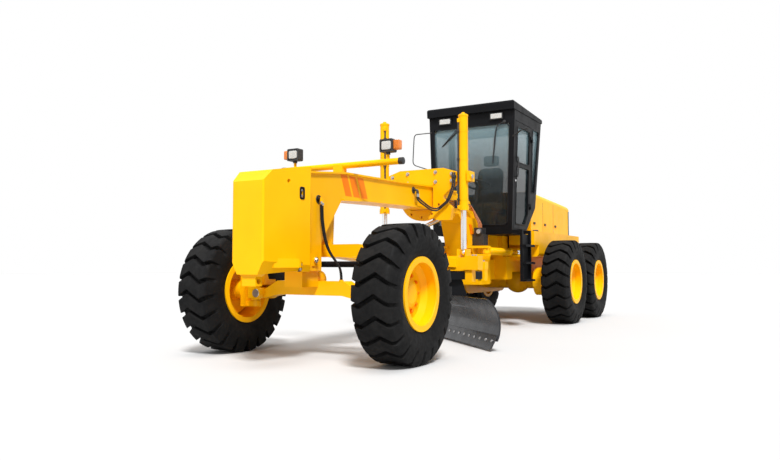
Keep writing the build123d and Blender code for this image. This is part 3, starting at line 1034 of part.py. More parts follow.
for side_name, side_sign in SIDES.items():
    with BuildPart() as door:
        wall_panel(DOOR, side_sign, CAB_WALL)
        for window in DOOR_WINDOWS:
            wall_panel(window, side_sign, 3 * CAB_WALL, inset=-CAB_WALL, mode=Mode.SUBTRACT)
        for height in DOOR_HINGES:
            seat = height + DOOR_KNUCKLE + PIN_FIT
            hinge_knuckle(side_sign, seat, 52)
            rod(hinge_point(side_sign, seat - 2), hinge_point(side_sign, seat + DOOR_KNUCKLE + 2),
                DOOR_PIN_RADIUS + PIN_FIT, mode=Mode.SUBTRACT)
    keep(door.part, f"door_{side_name}")
    with BuildPart() as door_glass:
        for window in DOOR_WINDOWS:
            wall_panel(window, side_sign, GLASS_THICKNESS, inset=(CAB_WALL - GLASS_THICKNESS) / 2)
    keep(door_glass.part, f"door_glass_{side_name}")

INSIDE_Z = CAB_FLOOR_Z + FLOOR_THICKNESS
SEAT_X = (-1480, -1080)
SEAT_Z = (INSIDE_Z + 330, INSIDE_Z + 450)
BACKREST_TOP = INSIDE_Z + 1050
with BuildPart() as seat_cushion:
    block((SEAT_X[0] + 20, SEAT_X[1]), (-230, 230), SEAT_Z)
    fillet(seat_cushion.edges().filter_by(Axis.Z), radius=50)
keep(seat_cushion.part, "seat_cushion")

with BuildPart() as seat_backrest:
    slab([(SEAT_X[0] + 20, SEAT_Z[1] + PIN_FIT), (SEAT_X[0] + 110, SEAT_Z[1] + PIN_FIT),
          (SEAT_X[0] + 30, BACKREST_TOP),
          (SEAT_X[0] - 60, BACKREST_TOP)], side_plane(0), 440)
    fillet(seat_backrest.edges().filter_by(Axis.Y).group_by(Axis.Z)[-1], radius=35)
keep(seat_backrest.part, "seat_backrest")

with BuildPart() as cab_interior:
    block(SEAT_X, (-200, 200), (SEAT_Z[0] - 25, SEAT_Z[0]))
    slab([(SEAT_X[0] + 20, SEAT_Z[1]), (SEAT_X[0] - 60, BACKREST_TOP - 80),
          (SEAT_X[0] - 85, BACKREST_TOP - 80),
          (SEAT_X[0] - 5, SEAT_Z[0] - 25), (SEAT_X[0] + 20, SEAT_Z[0] - 25)], side_plane(0), 360)
    slab([(-1250, INSIDE_Z), (-1130, INSIDE_Z), (-1130, SEAT_Z[0]), (-1400, SEAT_Z[0])], side_plane(0), 300)
    block((-900, -770), (-120, 120), (INSIDE_Z, INSIDE_Z + 420))
    rod((-830, 0, INSIDE_Z + 400), (-930, 0, INSIDE_Z + 720), 32)
    with Locations(Plane(origin=(-930, 0, INSIDE_Z + 720), z_dir=(-100, 0, 320))):
        Torus(190, 16)
        Box(380, 34, 22)
keep(cab_interior.part, "cab_interior")

with BuildPart() as cab_lamps:
    for sign in (-1, 1):
        block((CAB_FRONT_X, CAB_FRONT_X + 30), (sign * 330, sign * 540), (CAB_TOP_Z - 130, CAB_TOP_Z - 30))
keep(cab_lamps.part, "cab_lamps")

with BuildPart() as cab_steps:
    for sign in (-1, 1):
        for x in (-1000, -640):
            block((x - 20, x + 20), (sign * STEP_Y[0], sign * (STEP_Y[0] + 40)), (700, CAB_FLOOR_Z + 60))
            block((x - 20, x + 20), (sign * (CAB_FLOOR_HALF + 2.3), sign * (STEP_Y[0] + 40)),
                  (CAB_FLOOR_Z + 8, CAB_FLOOR_Z + 60))
        for z in (700, 960, 1220):
            block((-1020, -620), (sign * STEP_Y[0], sign * STEP_Y[1]), (z, z + 30))
keep(cab_steps.part, "cab_steps")

with BuildPart() as valve_bank:
    block((-410, -250), (COLUMN_HALF_WIDTH, COLUMN_HALF_WIDTH + 185), (1240, 1400))
    for step in range(4):
        x = -395 + 40 * step
        block((x, x + 25), (COLUMN_HALF_WIDTH + 30, COLUMN_HALF_WIDTH + 160), (1400, 1500))
keep(valve_bank.part, "valve_bank")
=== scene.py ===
"""Looks of a motor grader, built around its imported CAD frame.

Every length is in metres and every place is in the frame's own axes: +X forward,
+Y to the machine's left and +Z up, with the ground at Z = 0.
"""

import logging
import math
from dataclasses import dataclass
from enum import Enum

import bmesh
import bpy
import numpy as np
from mathutils import Matrix, Vector


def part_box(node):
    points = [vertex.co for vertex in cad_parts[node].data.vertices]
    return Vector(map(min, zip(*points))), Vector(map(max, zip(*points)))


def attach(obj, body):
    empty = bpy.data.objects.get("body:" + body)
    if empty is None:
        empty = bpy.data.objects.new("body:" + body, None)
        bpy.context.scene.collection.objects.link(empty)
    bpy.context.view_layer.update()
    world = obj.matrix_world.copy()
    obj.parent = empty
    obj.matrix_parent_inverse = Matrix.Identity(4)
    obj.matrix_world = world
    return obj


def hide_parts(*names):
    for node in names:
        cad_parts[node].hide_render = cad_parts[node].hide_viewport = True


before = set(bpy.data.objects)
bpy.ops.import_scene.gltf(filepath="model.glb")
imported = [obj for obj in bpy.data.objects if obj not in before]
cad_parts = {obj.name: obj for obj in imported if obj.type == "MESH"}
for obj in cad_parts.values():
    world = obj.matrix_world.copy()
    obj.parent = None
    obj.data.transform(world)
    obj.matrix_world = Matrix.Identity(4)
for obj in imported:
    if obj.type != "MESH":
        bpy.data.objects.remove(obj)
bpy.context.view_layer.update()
LOG = logging.getLogger("motor_grader")
FRONT, REAR = "front_frame", "rear_chassis"
Colour = tuple[float, float, float]
Point = tuple[float, float, float]
Numbers = tuple[float, ...]
Points = tuple[Point, ...]
Profile = tuple[tuple[float, float], ...]
Socket = bpy.types.NodeSocket
AHEAD, LEFT, UP = np.eye(3)
WHEELS = ("front_left", "front_right", "middle_left", "middle_right", "back_left", "back_right")
SIDES = {"left": 1.0, "right": -1.0}
HOSE_ROUTES: dict[str, tuple[Points, float]] = {
    "laid_axle_hose_outer": (
        ((3.582, 0.190, 1.560), (3.582, 0.190, 1.450), (3.576, 0.205, 1.325), (3.566, 0.225, 1.200),
         (3.548, 0.262, 1.085), (3.520, 0.325, 0.990), (3.488, 0.380, 0.900), (3.488, 0.380, 0.800)), 0.809),
    "laid_axle_hose_inner": (
        ((3.556, 0.190, 1.548), (3.556, 0.190, 1.440), (3.549, 0.203, 1.318), (3.537, 0.220, 1.196),
         (3.515, 0.250, 1.085), (3.482, 0.300, 0.995), (3.448, 0.345, 0.905), (3.448, 0.345, 0.800)), 0.788),
}


class NodeBook:
    """A material's node tree, with short calls for the nodes that the finishes share."""

    def __init__(self, name: str) -> None:
        """Start an empty material with a Principled shader.

        Args:
            name: the material's name.
        """
        self.material = bpy.data.materials.new(name)
        self.material.use_nodes = True
        self.tree = self.material.node_tree
        self.shader = self.tree.nodes["Principled BSDF"]
        self.place = self.tree.nodes.new("ShaderNodeTexCoord").outputs["Object"]

    def fill(self, node: bpy.types.Node, **inputs: object) -> None:
        """Fill a node's inputs: a socket is joined, and anything else is a constant on the input itself.

        Args:
            node: the node.
            inputs: what goes into each input, underscores standing for spaces in its name.
        """
        for name, value in inputs.items():
            entry = node.inputs[name.replace("_", " ")]
            if isinstance(value, Socket):
                self.tree.links.new(value, entry)
            else:
                entry.default_value = value

    def set(self, **inputs: object) -> None:
        """Fill the shader's own inputs.

        Args:
            inputs: what goes into each input.
        """
        self.fill(self.shader, **inputs)

    def node(self, kind: str, output: str, **inputs: object) -> Socket:
        """Add a node.

        Args:
            kind: its type.
            output: the output that is wanted.
            inputs: what goes into each input.

        Returns:
            That output's socket.
        """
        node = self.tree.nodes.new(f"ShaderNode{kind}")
        self.fill(node, **inputs)
        return node.outputs[output]

    def stretched(self, scale: Point, turn: float = 0.0) -> Socket:
        """Object coordinates turned about Z and then scaled by a factor on each axis.

        Args:
            scale: factor along X, Y and Z.
            turn: angle in degrees.

        Returns:
            The vector socket.
        """
        turned = self.node("VectorRotate", "Vector", Vector=self.place, Angle=math.radians(turn))
        turned.node.rotation_type = "Z_AXIS"
        return self.node("Mapping", "Vector", Vector=turned, Scale=scale)

    def noise(self, scale: float, detail: float = 3.0, place: Socket | None = None) -> Socket:
        """Cloudy noise on the piece's own coordinates.

        Args:
            scale: cells to a metre.
            detail: octaves of finer cloud.
            place: coordinates to use instead of the plain ones.

        Returns:
            The grey value's socket.
        """
        return self.node("TexNoise", "Fac", Vector=place or self.place, Scale=scale, Detail=detail)

    def ramp(self, grey: Socket, low: float, high: float, dark: Colour, light: Colour) -> Socket:
        """Colour that goes from dark to light as a grey value goes from low to high.

        Args:
            grey: the value that drives it.
            low: grey below which the colour is dark.
            high: grey above which it is light.
            dark: first colour.
            light: second colour.

        Returns:
            The colour's socket.
        """
        colour = self.node("ValToRGB", "Color", Fac=grey)
        for stop, place, shade in zip(colour.node.color_ramp.elements, (low, high), (dark, light)):
            stop.position = place
            stop.color = (*shade, 1.0)
        return colour

    def toned(self, grey: Socket, low: float, high: float, colour: Colour, tone: float) -> Socket:
        """A colour that a grey value makes a little darker or lighter.

        Args:
            grey: the value that drives it.
            low: grey below which the colour is darkest.
            high: grey above which it is lightest.
            colour: the colour between.
            tone: the share by which it changes.

        Returns:
            The colour's socket.
        """
        return self.ramp(grey, low, high, shaded(colour, 1 - tone), shaded(colour, 1 + tone))

    def spread(self, grey: Socket, low: float, high: float) -> Socket:
        """A grey value stretched to run from low to high, for roughness.

        Args:
            grey: the value to stretch.
            low: result for dark grey.
            high: result for light grey.

        Returns:
            The stretched value's socket.
        """
        return self.node("MapRange", "Result", Value=grey, From_Min=0.3, From_Max=0.7, To_Min=low,
                         To_Max=high)

    def bump(self, grey: Socket, strength: float, height: float) -> None:
        """Raise the surface by a grey value.

        Args:
            grey: the height map.
            strength: how much of it shows.
            height: its height in metres.
        """
        self.set(Normal=self.node("Bump", "Normal", Height=grey, Strength=strength, Distance=height))


def shaded(colour: Colour, factor: float) -> Colour:
    """A colour made lighter or darker by a factor, kept under full white.

    Args:
        colour: the colour to start from.
        factor: what each channel is multiplied by.

    Returns:
        The new colour.
    """
    return tuple(min(1.0, channel * factor) for channel in colour)


@dataclass(frozen=True)
class Paint:
    """Sprayed enamel: slow changes of tone, fine orange peel and a clear coat."""

    name: str
    colour: Colour
    roughness: float = 0.38
    coat: float = 0.06
    tone: float = 0.06

    def material(self) -> bpy.types.Material:
        """Build the paint's node tree.

        Returns:
            The new material.
        """
        book = NodeBook(self.name)
        book.set(Base_Color=book.toned(book.noise(1.7, 4.0), 0.35, 0.65, self.colour, self.tone),
                 Roughness=book.spread(book.noise(9.0), self.roughness - 0.06, self.roughness + 0.06),
                 Coat_Weight=self.coat, Coat_Roughness=0.15, Specular_IOR_Level=0.10)
        book.bump(book.noise(420.0, 1.0), 0.12, 0.0006)
        return book.material


@dataclass(frozen=True)
class Steel:
    """Bare metal with a grain drawn out along one axis."""

    name: str
    colour: Colour
    roughness: float
    grain: Point = (3.0, 3.0, 260.0)
    turn: float = 0.0
    tone: float = 0.25

    def material(self) -> bpy.types.Material:
        """Build the metal's node tree.

        Returns:
            The new material.
        """
        book = NodeBook(self.name)
        streak = book.noise(1.0, 5.0, book.stretched(self.grain, self.turn))
        book.set(Base_Color=book.toned(streak, 0.3, 0.7, self.colour, self.tone), Metallic=1.0,
                 Roughness=book.spread(book.noise(6.0, 4.0), self.roughness - 0.07, self.roughness + 0.09))
        book.bump(streak, 0.1, 0.0005)
        return book.material


@dataclass(frozen=True)
class Rubber:
    """Tyre rubber: dusty where it is worn, with the fine grit of the mould."""

    name: str
    colour: Colour
    dust: Colour
    roughness: float = 0.78

    def material(self) -> bpy.types.Material:
        """Build the rubber's node tree.

        Returns:
            The new material.
        """
        book = NodeBook(self.name)
        book.set(Base_Color=book.ramp(book.noise(7.0, 6.0), 0.42, 0.75, self.colour, self.dust),
                 Roughness=book.spread(book.noise(24.0), self.roughness - 0.12, self.roughness + 0.1),
                 Specular_IOR_Level=0.16)
        book.bump(book.noise(160.0, 3.0), 0.3, 0.0012)
        return book.material


@dataclass(frozen=True)
class Plastic:
    """Moulded plastic with a fine grained skin."""

    name: str
    colour: Colour
    roughness: float = 0.5
    grain: float = 500.0

    def material(self) -> bpy.types.Material:
        """Build the plastic's node tree.

        Returns:
            The new material.
        """
        book = NodeBook(self.name)
        book.set(Base_Color=book.toned(book.noise(5.0), 0.35, 0.65, self.colour, 0.14),
                 Roughness=book.spread(book.noise(11.0), self.roughness - 0.05, self.roughness + 0.07))
        book.bump(book.noise(self.grain, 1.0), 0.2, 0.0004)
        return book.material


@dataclass(frozen=True)
class Glass:
    """Tinted safety glass: thin, a little wavy, with a painted reflection that makes it darker at its foot
    and lighter towards its top.
    """

    name: str
    colour: Colour
    alpha: float
    low: float
    high: float

    def material(self) -> bpy.types.Material:
        """Build the glass's node tree.

        Returns:
            The new material.
        """
        book = NodeBook(self.name)
        height = book.node("SeparateXYZ", "Z", Vector=book.stretched((0.1, 0.1, 0.1)))
        # Painted reflection: the tint runs from nearly black at the low height to its full colour at the high
        # one.
        tint_and_painted_reflection = book.ramp(height, self.low / 10, self.high / 10, shaded(self.colour, 0.06), self.colour)
        book.set(Base_Color=tint_and_painted_reflection, Roughness=0.06, Alpha=self.alpha, IOR=1.45)
        book.bump(book.noise(2.0, 1.0), 0.04, 0.002)
        return book.material


@dataclass(frozen=True)
class Lens:
    """Ribbed lamp lens."""

    name: str
    colour: Colour
    ribs: Point = (1.0, 420.0, 1.0)

    def material(self) -> bpy.types.Material:
        """Build the lens's node tree.

        Returns:
            The new material.
        """
        book = NodeBook(self.name)
        rib = book.node("TexWave", "Fac", Vector=book.stretched(self.ribs), Scale=0.5)
        rib.node.bands_direction = "Y"
        book.set(Base_Color=book.ramp(rib, 0.0, 1.0, shaded(self.colour, 0.6), self.colour),
                 Roughness=0.16, Coat_Weight=0.2, Coat_Roughness=0.05)
        book.bump(rib, 0.5, 0.002)
        return book.material


class Finish(Enum):
    """The finishes of this machine."""

    YELLOW = Paint("golden_enamel", (0.96, 0.47, 0.0015))
    ORANGE = Paint("orange_enamel", (0.90, 0.21, 0.0015))
    CHARCOAL = Paint("charcoal_enamel", (0.0050, 0.0054, 0.0066), 0.45, 0.0, 0.15)
    TYRE = Rubber("tyre_rubber", (0.0036, 0.0036, 0.0038), (0.0090, 0.0087, 0.0085))
    HOSE = Rubber("hose_rubber", (0.006, 0.006, 0.007), (0.012, 0.012, 0.012), 0.5)
    BLADE = Steel("polished_blade", (0.062, 0.063, 0.067), 0.26, (3.0, 0.35, 45.0), 43.0, 0.15)
    BOLT = Steel("zinc_bolt", (0.42, 0.42, 0.43), 0.34)
    CHROME = Steel("chromed_rod", (0.78, 0.79, 0.80), 0.14, (4.0, 4.0, 4.0), 0.0, 0.05)
    COPPER = Steel("copper_pipe", (0.62, 0.25, 0.12), 0.28)
    CAST = Steel("dark_casting", (0.075, 0.075, 0.078), 0.55, (60.0, 60.0, 60.0))
    BLACK = Plastic("black_plastic", (0.016, 0.016, 0.017))
    SEAT = Plastic("seat_cloth", (0.030, 0.031, 0.036), 0.85, 900.0)
    # The glass's ramp from a dark foot to a lighter top is a painted reflection.
    GLASS = Glass("tinted_glass_painted_reflection", (0.28, 0.42, 0.47), 0.45, 2.25, 3.15)
    CLEAR_LENS = Lens("clear_lens", (0.70, 0.70, 0.67))
    AMBER_LENS = Lens("amber_lens", (0.90, 0.24, 0.015))
    RED_LENS = Lens("red_lens", (0.55, 0.012, 0.010))
    DIAL = Plastic("dial_face", (0.42, 0.42, 0.40), 0.35)


class PaintShop:
    """Keeps one material for each finish and puts it on pieces."""

    def __init__(self) -> None:
        """Start with no material mixed."""
        self.pots: dict[Finish, bpy.types.Material] = {}

    def coat(self, piece: bpy.types.Object, finish: Finish) -> None:
        """Give a piece one finish all over.

        Args:
            piece: the object.
            finish: its finish.
        """
        if finish not in self.pots:
            self.pots[finish] = finish.value.material()
        piece.data.materials.clear()
        piece.data.materials.append(self.pots[finish])


SHOP = PaintShop()


def add(name: str, data: bpy.types.ID) -> bpy.types.Object:
    """Put a new object into the scene, at the origin and unturned.

    Args:
        name: its name.
        data: its mesh, curve, lamp or camera.

    Returns:
        The object.
    """
    thing = bpy.data.objects.new(name, data)
    bpy.context.scene.collection.objects.link(thing)
    return thing


def middle_and_half(node: str) -> tuple[np.ndarray, np.ndarray]:
    """Middle of a CAD node's box, and half its size along each axis.

    Args:
        node: the node's name.

    Returns:
        The two vectors.
    """
    low, high = (np.array(corner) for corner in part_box(node))
    return (low + high) / 2, (high - low) / 2


def grid_faces(rows: int, columns: int, round_rows: bool) -> np.ndarray:
    """Quads of a grid of points whose last column joins the first.

    Args:
        rows: points along the first parameter.
        columns: points along the second.
        round_rows: the last row joins the first as well.

    Returns:
        An array of point numbers, four to a face.
    """
    row, column = np.indices((rows if round_rows else rows - 1, columns))
    below, beside = (row + 1) % rows, (column + 1) % columns
    corners = (row * columns + column, row * columns + beside, below * columns + beside,
               below * columns + column)
    return np.stack(corners, axis=-1).reshape(-1, 4)


def skin(name: str, grids: list[np.ndarray], finish: Finish, body: str, round_rows: bool = False,
         smooth: bool = True) -> bpy.types.Object:
    """One piece from grids of points, merged at its poles, facing outwards and riding on a body.

    Args:
        name: the piece's name.
        grids: arrays of rows x columns x 3, closed along their columns.
        finish: its finish.
        body: the body that carries it.
        round_rows: each grid closes along its rows as well.
        smooth: shade it smooth, with its sharp corners kept.

    Returns:
        The new object.
    """
    points, faces, count = [], [], 0
    for grid in grids:
        points.append(grid.reshape(-1, 3))
        faces.append(grid_faces(*grid.shape[:2], round_rows) + count)
        count += len(points[-1])
    mesh = bpy.data.meshes.new(name)
    mesh.from_pydata(np.concatenate(points).tolist(), [], np.concatenate(faces).tolist())
    shell = bmesh.new()
    shell.from_mesh(mesh)
    bmesh.ops.remove_doubles(shell, verts=shell.verts, dist=1e-6)
    bmesh.ops.recalc_face_normals(shell, faces=shell.faces)
    shell.to_mesh(mesh)
    shell.free()
    piece = add(name, mesh)
    if smooth:
        mesh.shade_smooth()
        mesh.set_sharp_from_angle(angle=math.radians(38))
    SHOP.coat(piece, finish)
    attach(piece, body)
    LOG.info("%s: %d faces on %s", name, len(mesh.polygons), body)
    return piece


def pair(name: str, grids: list[np.ndarray], finish: Finish, body: str, **options: bool) -> None:
    """A piece of the left side and its mirror image on the right.

    Args:
        name: their name, without the side.
        grids: the left piece's grids.
        finish: their finish.
        body: the body that carries them, a star standing for the side.
        options: further choices that skin has.
    """
    for side, sign in SIDES.items():
        mirrored = [grid * (1.0, sign, 1.0) for grid in grids]
        skin(f"{name}_{side}", mirrored, finish, body.replace("*", side), **options)


def basis(axis: np.ndarray) -> np.ndarray:
    """Three unit vectors square to one another, built on an axis.

    Args:
        axis: the direction to build on.

    Returns:
        The vectors as rows, the last along the axis and the first level where it can be.
    """
    along = np.asarray(axis, float) / np.linalg.norm(axis)
    side = np.cross(UP if abs(along[2]) < 0.9 else AHEAD, along)
    side /= np.linalg.norm(side)
    return np.stack((side, np.cross(along, side), along))


def ring(first: np.ndarray, second: np.ndarray, steps: int) -> np.ndarray:
    """Points of a unit circle about the origin, or of one for each row of the two ways.

    Args:
        first: the way to the first point.
        second: the way square to it.
        steps: points on the circle.

    Returns:
        The points, in the last axis but one.
    """
    turn = np.linspace(0.0, 2 * math.pi, steps, endpoint=False)[:, None]
    return np.cos(turn) * first[..., None, :] + np.sin(turn) * second[..., None, :]


def lathe(profile: Profile, centre: Point, axis: np.ndarray, steps: int) -> np.ndarray:
    """Surface of revolution: each (height, radius) of a profile is carried round an axis.

    Args:
        profile: heights along the axis and radii.
        centre: the axis's zero point.
        axis: its direction.
        steps: points round the axis.

    Returns:
        A grid of points, closed along its columns.
    """
    height, radius = np.asarray(profile, float).T
    side, up, along = basis(axis)
    circle = radius[:, None, None] * ring(side, up, steps)
    return np.asarray(centre) + height[:, None, None] * along + circle


def cushion(low: Point, high: Point, squareness: float = 0.18, steps: int = 40) -> np.ndarray:
    """Rounded block: a superellipsoid, whose cosines and sines are raised to a small power.

    Args:
        low: the block's lowest corner.
        high: its highest corner.
        squareness: the power; 1 is an egg and 0 a plain box.
        steps: points round it.

    Returns:
        A grid of points, closed along its columns.
    """
    low, high = np.asarray(low, float), np.asarray(high, float)
    pitch = np.linspace(-math.pi / 2, math.pi / 2, steps // 2 + 1)[:, None]
    turn = np.linspace(-math.pi, math.pi, steps, endpoint=False)[None, :] + math.pi / steps

    def power(wave: np.ndarray) -> np.ndarray:
        """A wave raised to the power, its sign kept.

        Args:
            wave: cosines or sines.

        Returns:
            The raised values.
        """
        return np.sign(wave) * np.abs(wave) ** squareness

    flat = power(np.cos(pitch).round(9))
    unit = np.stack((flat * power(np.cos(turn)), flat * power(np.sin(turn)),
                     power(np.sin(pitch)) + 0 * turn), -1)
    return (low + high) / 2 + unit * (high - low) / 2


def bar(path: list[Point], radius: float, steps: int = 12) -> np.ndarray:
    """Round bar: a circle carried along a path's points, square to the path at each, with closed ends.

    Args:
        path: points of the bar's centre line.
        radius: its radius.
        steps: points round it.

    Returns:
        A grid of points, closed along its columns.
    """
    line = np.asarray(path, float)
    along = np.gradient(line, axis=0)
    along /= np.linalg.norm(along, axis=1, keepdims=True)
    guide = basis(line[-1] - line[0])[0]
    side = guide - (along @ guide)[:, None] * along
    side /= np.linalg.norm(side, axis=1, keepdims=True)
    tube = line[:, None] + radius * ring(side, np.cross(along, side), steps)
    ends = [np.repeat(line[end][None, None], steps, axis=1) for end in (0, -1)]
    return np.concatenate((ends[0], tube, ends[1]))


def rounded(before: np.ndarray, corner: np.ndarray, after: np.ndarray, bend: float, steps: int) -> np.ndarray:
    """Corners as quadratic curves between points a share of the way to their neighbours.

    Args:
        before: the point before each corner.
        corner: the corners.
        after: the point after each.
        bend: the share of each run that a corner takes.
        steps: points on each corner.

    Returns:
        The curves' points, one after the other.
    """
    share = np.linspace(0.0, 1.0, steps)[None, :, None]
    before, corner, after = before[:, None], corner[:, None], after[:, None]
    start, stop = corner + bend * (before - corner), corner + bend * (after - corner)
    return ((1 - share) ** 2 * start + 2 * share * (1 - share) * corner + share ** 2 * stop).reshape(-1, 3)


def bent(corners: list[Point], bend: float = 0.25, steps: int = 7) -> np.ndarray:
    """An open path with its corners rounded.

    Args:
        corners: the path's ends and corners.
        bend: the share of each run that a corner takes.
        steps: points on each corner.

    Returns:
        The points of the rounded path.
    """
    line = np.asarray(corners, float)
    return np.concatenate((line[:1], rounded(line[:-2], line[1:-1], line[2:], bend, steps), line[-1:]))


def hoop(corners: list[Point], radius: float, bend: float = 0.08, steps: int = 6) -> np.ndarray:
    """Closed round bead that follows a flat outline, its corners rounded.

    Args:
        corners: the outline's corners, in one plane.
        radius: the bead's radius.
        bend: the share of each run that a corner takes.
        steps: points on each corner.

    Returns:
        A grid of points, closed along its rows and columns.
    """
    line = np.asarray(corners, float)
    path = rounded(np.roll(line, 1, axis=0), line, np.roll(line, -1, axis=0), bend, steps)
    along = np.roll(path, -1, axis=0) - np.roll(path, 1, axis=0)
    along /= np.linalg.norm(along, axis=1, keepdims=True)
    square = np.cross(line[1] - line[0], line[2] - line[1])
    square /= np.linalg.norm(square)
    return path[:, None] + radius * ring(np.cross(along, square), square, 10)


def prism(outline: Points, offset: np.ndarray) -> np.ndarray:
    """Flat plate: an outline carried along an offset, each end closed by a fan to its middle.

    Args:
        outline: the plate's corners, in one plane.
        offset: its thickness, as a vector.

    Returns:
        A grid of points, closed along its columns.
    """
    edge = np.asarray(outline, float)
    middle = np.repeat(edge.mean(axis=0)[None], len(edge), axis=0)
    return np.stack((middle, edge, edge + offset, middle + offset))


def stud(centre: Point, axis: np.ndarray, radius: float, height: float, steps: int = 24) -> np.ndarray:
    """Round head with a chamfered rim, standing on a face.

    Args:
        centre: middle of its foot.
        axis: the way it stands.
        radius: its radius.
        height: its height.
        steps: points round it.

    Returns:
        A grid of points, closed along its columns.
    """
    lip = min(0.3 * radius, 0.5 * height)
    top = height - lip
    profile = [(-0.002, 0.0), (-0.002, radius), (top, radius), (height, radius - lip), (height, 0.0)]
    return lathe(profile, centre, axis, steps)


def nut(low: float, high: float, radius: float, centre: Point) -> np.ndarray:
    """Upright hexagon nut.

    Args:
        low: its foot's height over the centre.
        high: its top's.
        radius: its radius over the corners.
        centre: the place it is measured from.

    Returns:
        A grid of points, closed along its columns.
    """
    return lathe([(low, 0.0), (low, radius), (high, radius), (high, 0.0)], centre, UP, 6)


def bolt_heads(centres: list[Point], axis: np.ndarray, radius: float, height: float) -> list[np.ndarray]:
    """Hexagon heads on washers: a six-sided and a sixteen-sided lathe on each centre.

    Args:
        centres: middle of each washer's foot.
        axis: the way the heads stand.
        radius: the heads' radius over their corners.
        height: the heads' height.

    Returns:
        Grids of points, closed along their columns.
    """
    head = [(0.0, 0.0), (0.0, radius), (height * 0.8, radius), (height, radius * 0.85), (height, 0.0)]
    washer = [(-0.002, 0.0), (-0.002, radius * 1.35), (height * 0.2, radius * 1.35), (height * 0.2, 0.0)]
    shapes = ((head, 6), (washer, 16))
    return [lathe(shape, centre, axis, steps) for centre in centres for shape, steps in shapes]


@dataclass
class Tyre:
    """A tyre with wide chevron lugs, in the place of the CAD tyre."""

    name: str
    lugs: int = 22
    depth: float = 0.050
    land: float = 0.360
    draft: float = 0.035
    bends: Numbers = (-1.0, -0.5, 0.25, 1.0)
    rises: Numbers = (0.22, 0.0, 0.50, 0.0)
    steps_to_lug: int = 8
    rows_on_tread: int = 41

    def build(self) -> bpy.types.Object:
        """Make the tyre and put it in the place of its node.

        The section is the CAD tyre's, and the radius drops by the groove's depth where the pattern says.

        Returns:
            The tyre's object.
        """
        centre, (_, half, outer) = middle_and_half(f"tyre_{self.name}")
        seat = middle_and_half(f"rim_{self.name}")[1][2]
        side = math.copysign(1.0, centre[1])
        across, radius, tread = self.section(half, outer, seat)
        turn, groove = self.pattern(across / half)
        cut = groove[None, :] * tread[:, None]
        reach = radius[:, None] - self.depth * cut
        pulled = across[:, None] * (1 - 0.035 * cut * (np.abs(across[:, None]) > 0.8 * half))
        grid = np.stack((centre[0] + reach * np.cos(turn), centre[1] + side * pulled + 0 * reach,
                         centre[2] + reach * np.sin(turn)), -1)
        tyre = skin(f"lugged_tyre_{self.name}", [grid], Finish.TYRE, f"wheel_{self.name}", round_rows=True)
        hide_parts(f"tyre_{self.name}")
        return tyre

    def section(self, half: float, outer: float, seat: float) -> tuple[np.ndarray, np.ndarray, np.ndarray]:
        """The tyre's section from bead to bead.

        Args:
            half: half the tyre's width.
            outer: its radius over the lugs.
            seat: the rim flange's radius.

        Returns:
            Places across the tyre, radii, and how far each may be grooved, from 0 to 1.
        """
        bead, shoulder = half * 0.8, half * 0.90
        wall = np.linspace(0.0, 1.0, 14)
        drop = outer - 0.044
        wall_radius = seat + (drop - seat) * wall
        belly = half - (bead + shoulder) / 2
        wall_across = np.minimum(bead + (shoulder - bead) * wall + belly * np.sin(math.pi * wall), half)
        crown = np.linspace(-1.0, 1.0, self.rows_on_tread)
        edge = np.clip((np.abs(crown) - 0.86) / 0.14, 0, 1)
        crown_radius = outer - 0.004 * crown ** 2 - 0.032 * edge ** 1.5
        across = np.concatenate(([-bead], -wall_across, crown * half * 0.895, wall_across[::-1], [bead]))
        foot = [seat - 0.033]
        radius = np.concatenate((foot, wall_radius, crown_radius, wall_radius[::-1], foot))
        lugged = np.clip((wall - 0.62) / 0.3, 0, 1)
        tread = np.concatenate(([0.0], lugged, np.ones_like(crown), lugged[::-1], [0.0]))
        return across, radius, tread

    def pattern(self, place: np.ndarray) -> tuple[np.ndarray, np.ndarray]:
        """The grid's columns: those of each lug and groove slide round the wheel by a zigzag.

        Args:
            place: each row's place across the tread, from -1 to 1.

        Returns:
            Angles in rows and columns, and for each column 0 on a lug and 1 in a groove.
        """
        top = np.linspace(-self.land, self.land, self.steps_to_lug)
        foot = self.land + self.draft
        wave = np.arange(self.lugs)[:, None] + np.concatenate((top, (foot, 0.5, 1 - foot)))
        groove = np.tile(np.concatenate((0 * top, np.ones(3))), self.lugs)
        zigzag = np.interp(place, self.bends, self.rises)
        return (wave.ravel()[None, :] + zigzag[:, None]) * 2 * math.pi / self.lugs, groove


@dataclass
class WheelDress:
    """Hub bolts, lock ring and valve of one wheel."""

    name: str
    bolts: int = 10
    bolt_circle: float = 0.178
    bolt_radius: float = 0.017
    disc_out: float = 0.036
    lock_ring: Profile = ((0.0, 0.055), (0.010, 0.060), (0.016, 0.056), (0.016, 0.050), (0.0, 0.050))
    valve: Profile = ((-0.02, 0.0), (-0.02, 0.006), (0.03, 0.006), (0.032, 0.004), (0.032, 0.0))

    def build(self) -> None:
        """Make the small pieces that sit on the rim."""
        centre, (_, half, flange) = middle_and_half(f"rim_{self.name}")
        side = math.copysign(1.0, centre[1])
        out, body = side * LEFT, f"wheel_{self.name}"
        face = centre[1] + side * self.disc_out
        places = (centre[0], face, centre[2]) + self.bolt_circle * ring(AHEAD, UP, self.bolts)
        skin(f"hub_bolts_{self.name}", bolt_heads(places, out, self.bolt_radius, 0.022), Finish.ORANGE, body)
        ring_at = (centre[0], centre[1] + side * (half - 0.020), centre[2])
        band = [(height, flange - inward) for height, inward in self.lock_ring]
        skin(f"lock_ring_{self.name}", [lathe(band, ring_at, out, 72)], Finish.YELLOW, body, round_rows=True)
        stem = (centre[0] + 0.235, face + side * 0.012, centre[2] + 0.06)
        skin(f"valve_stem_{self.name}", [lathe(self.valve, stem, out, 12)], Finish.BLACK, body)


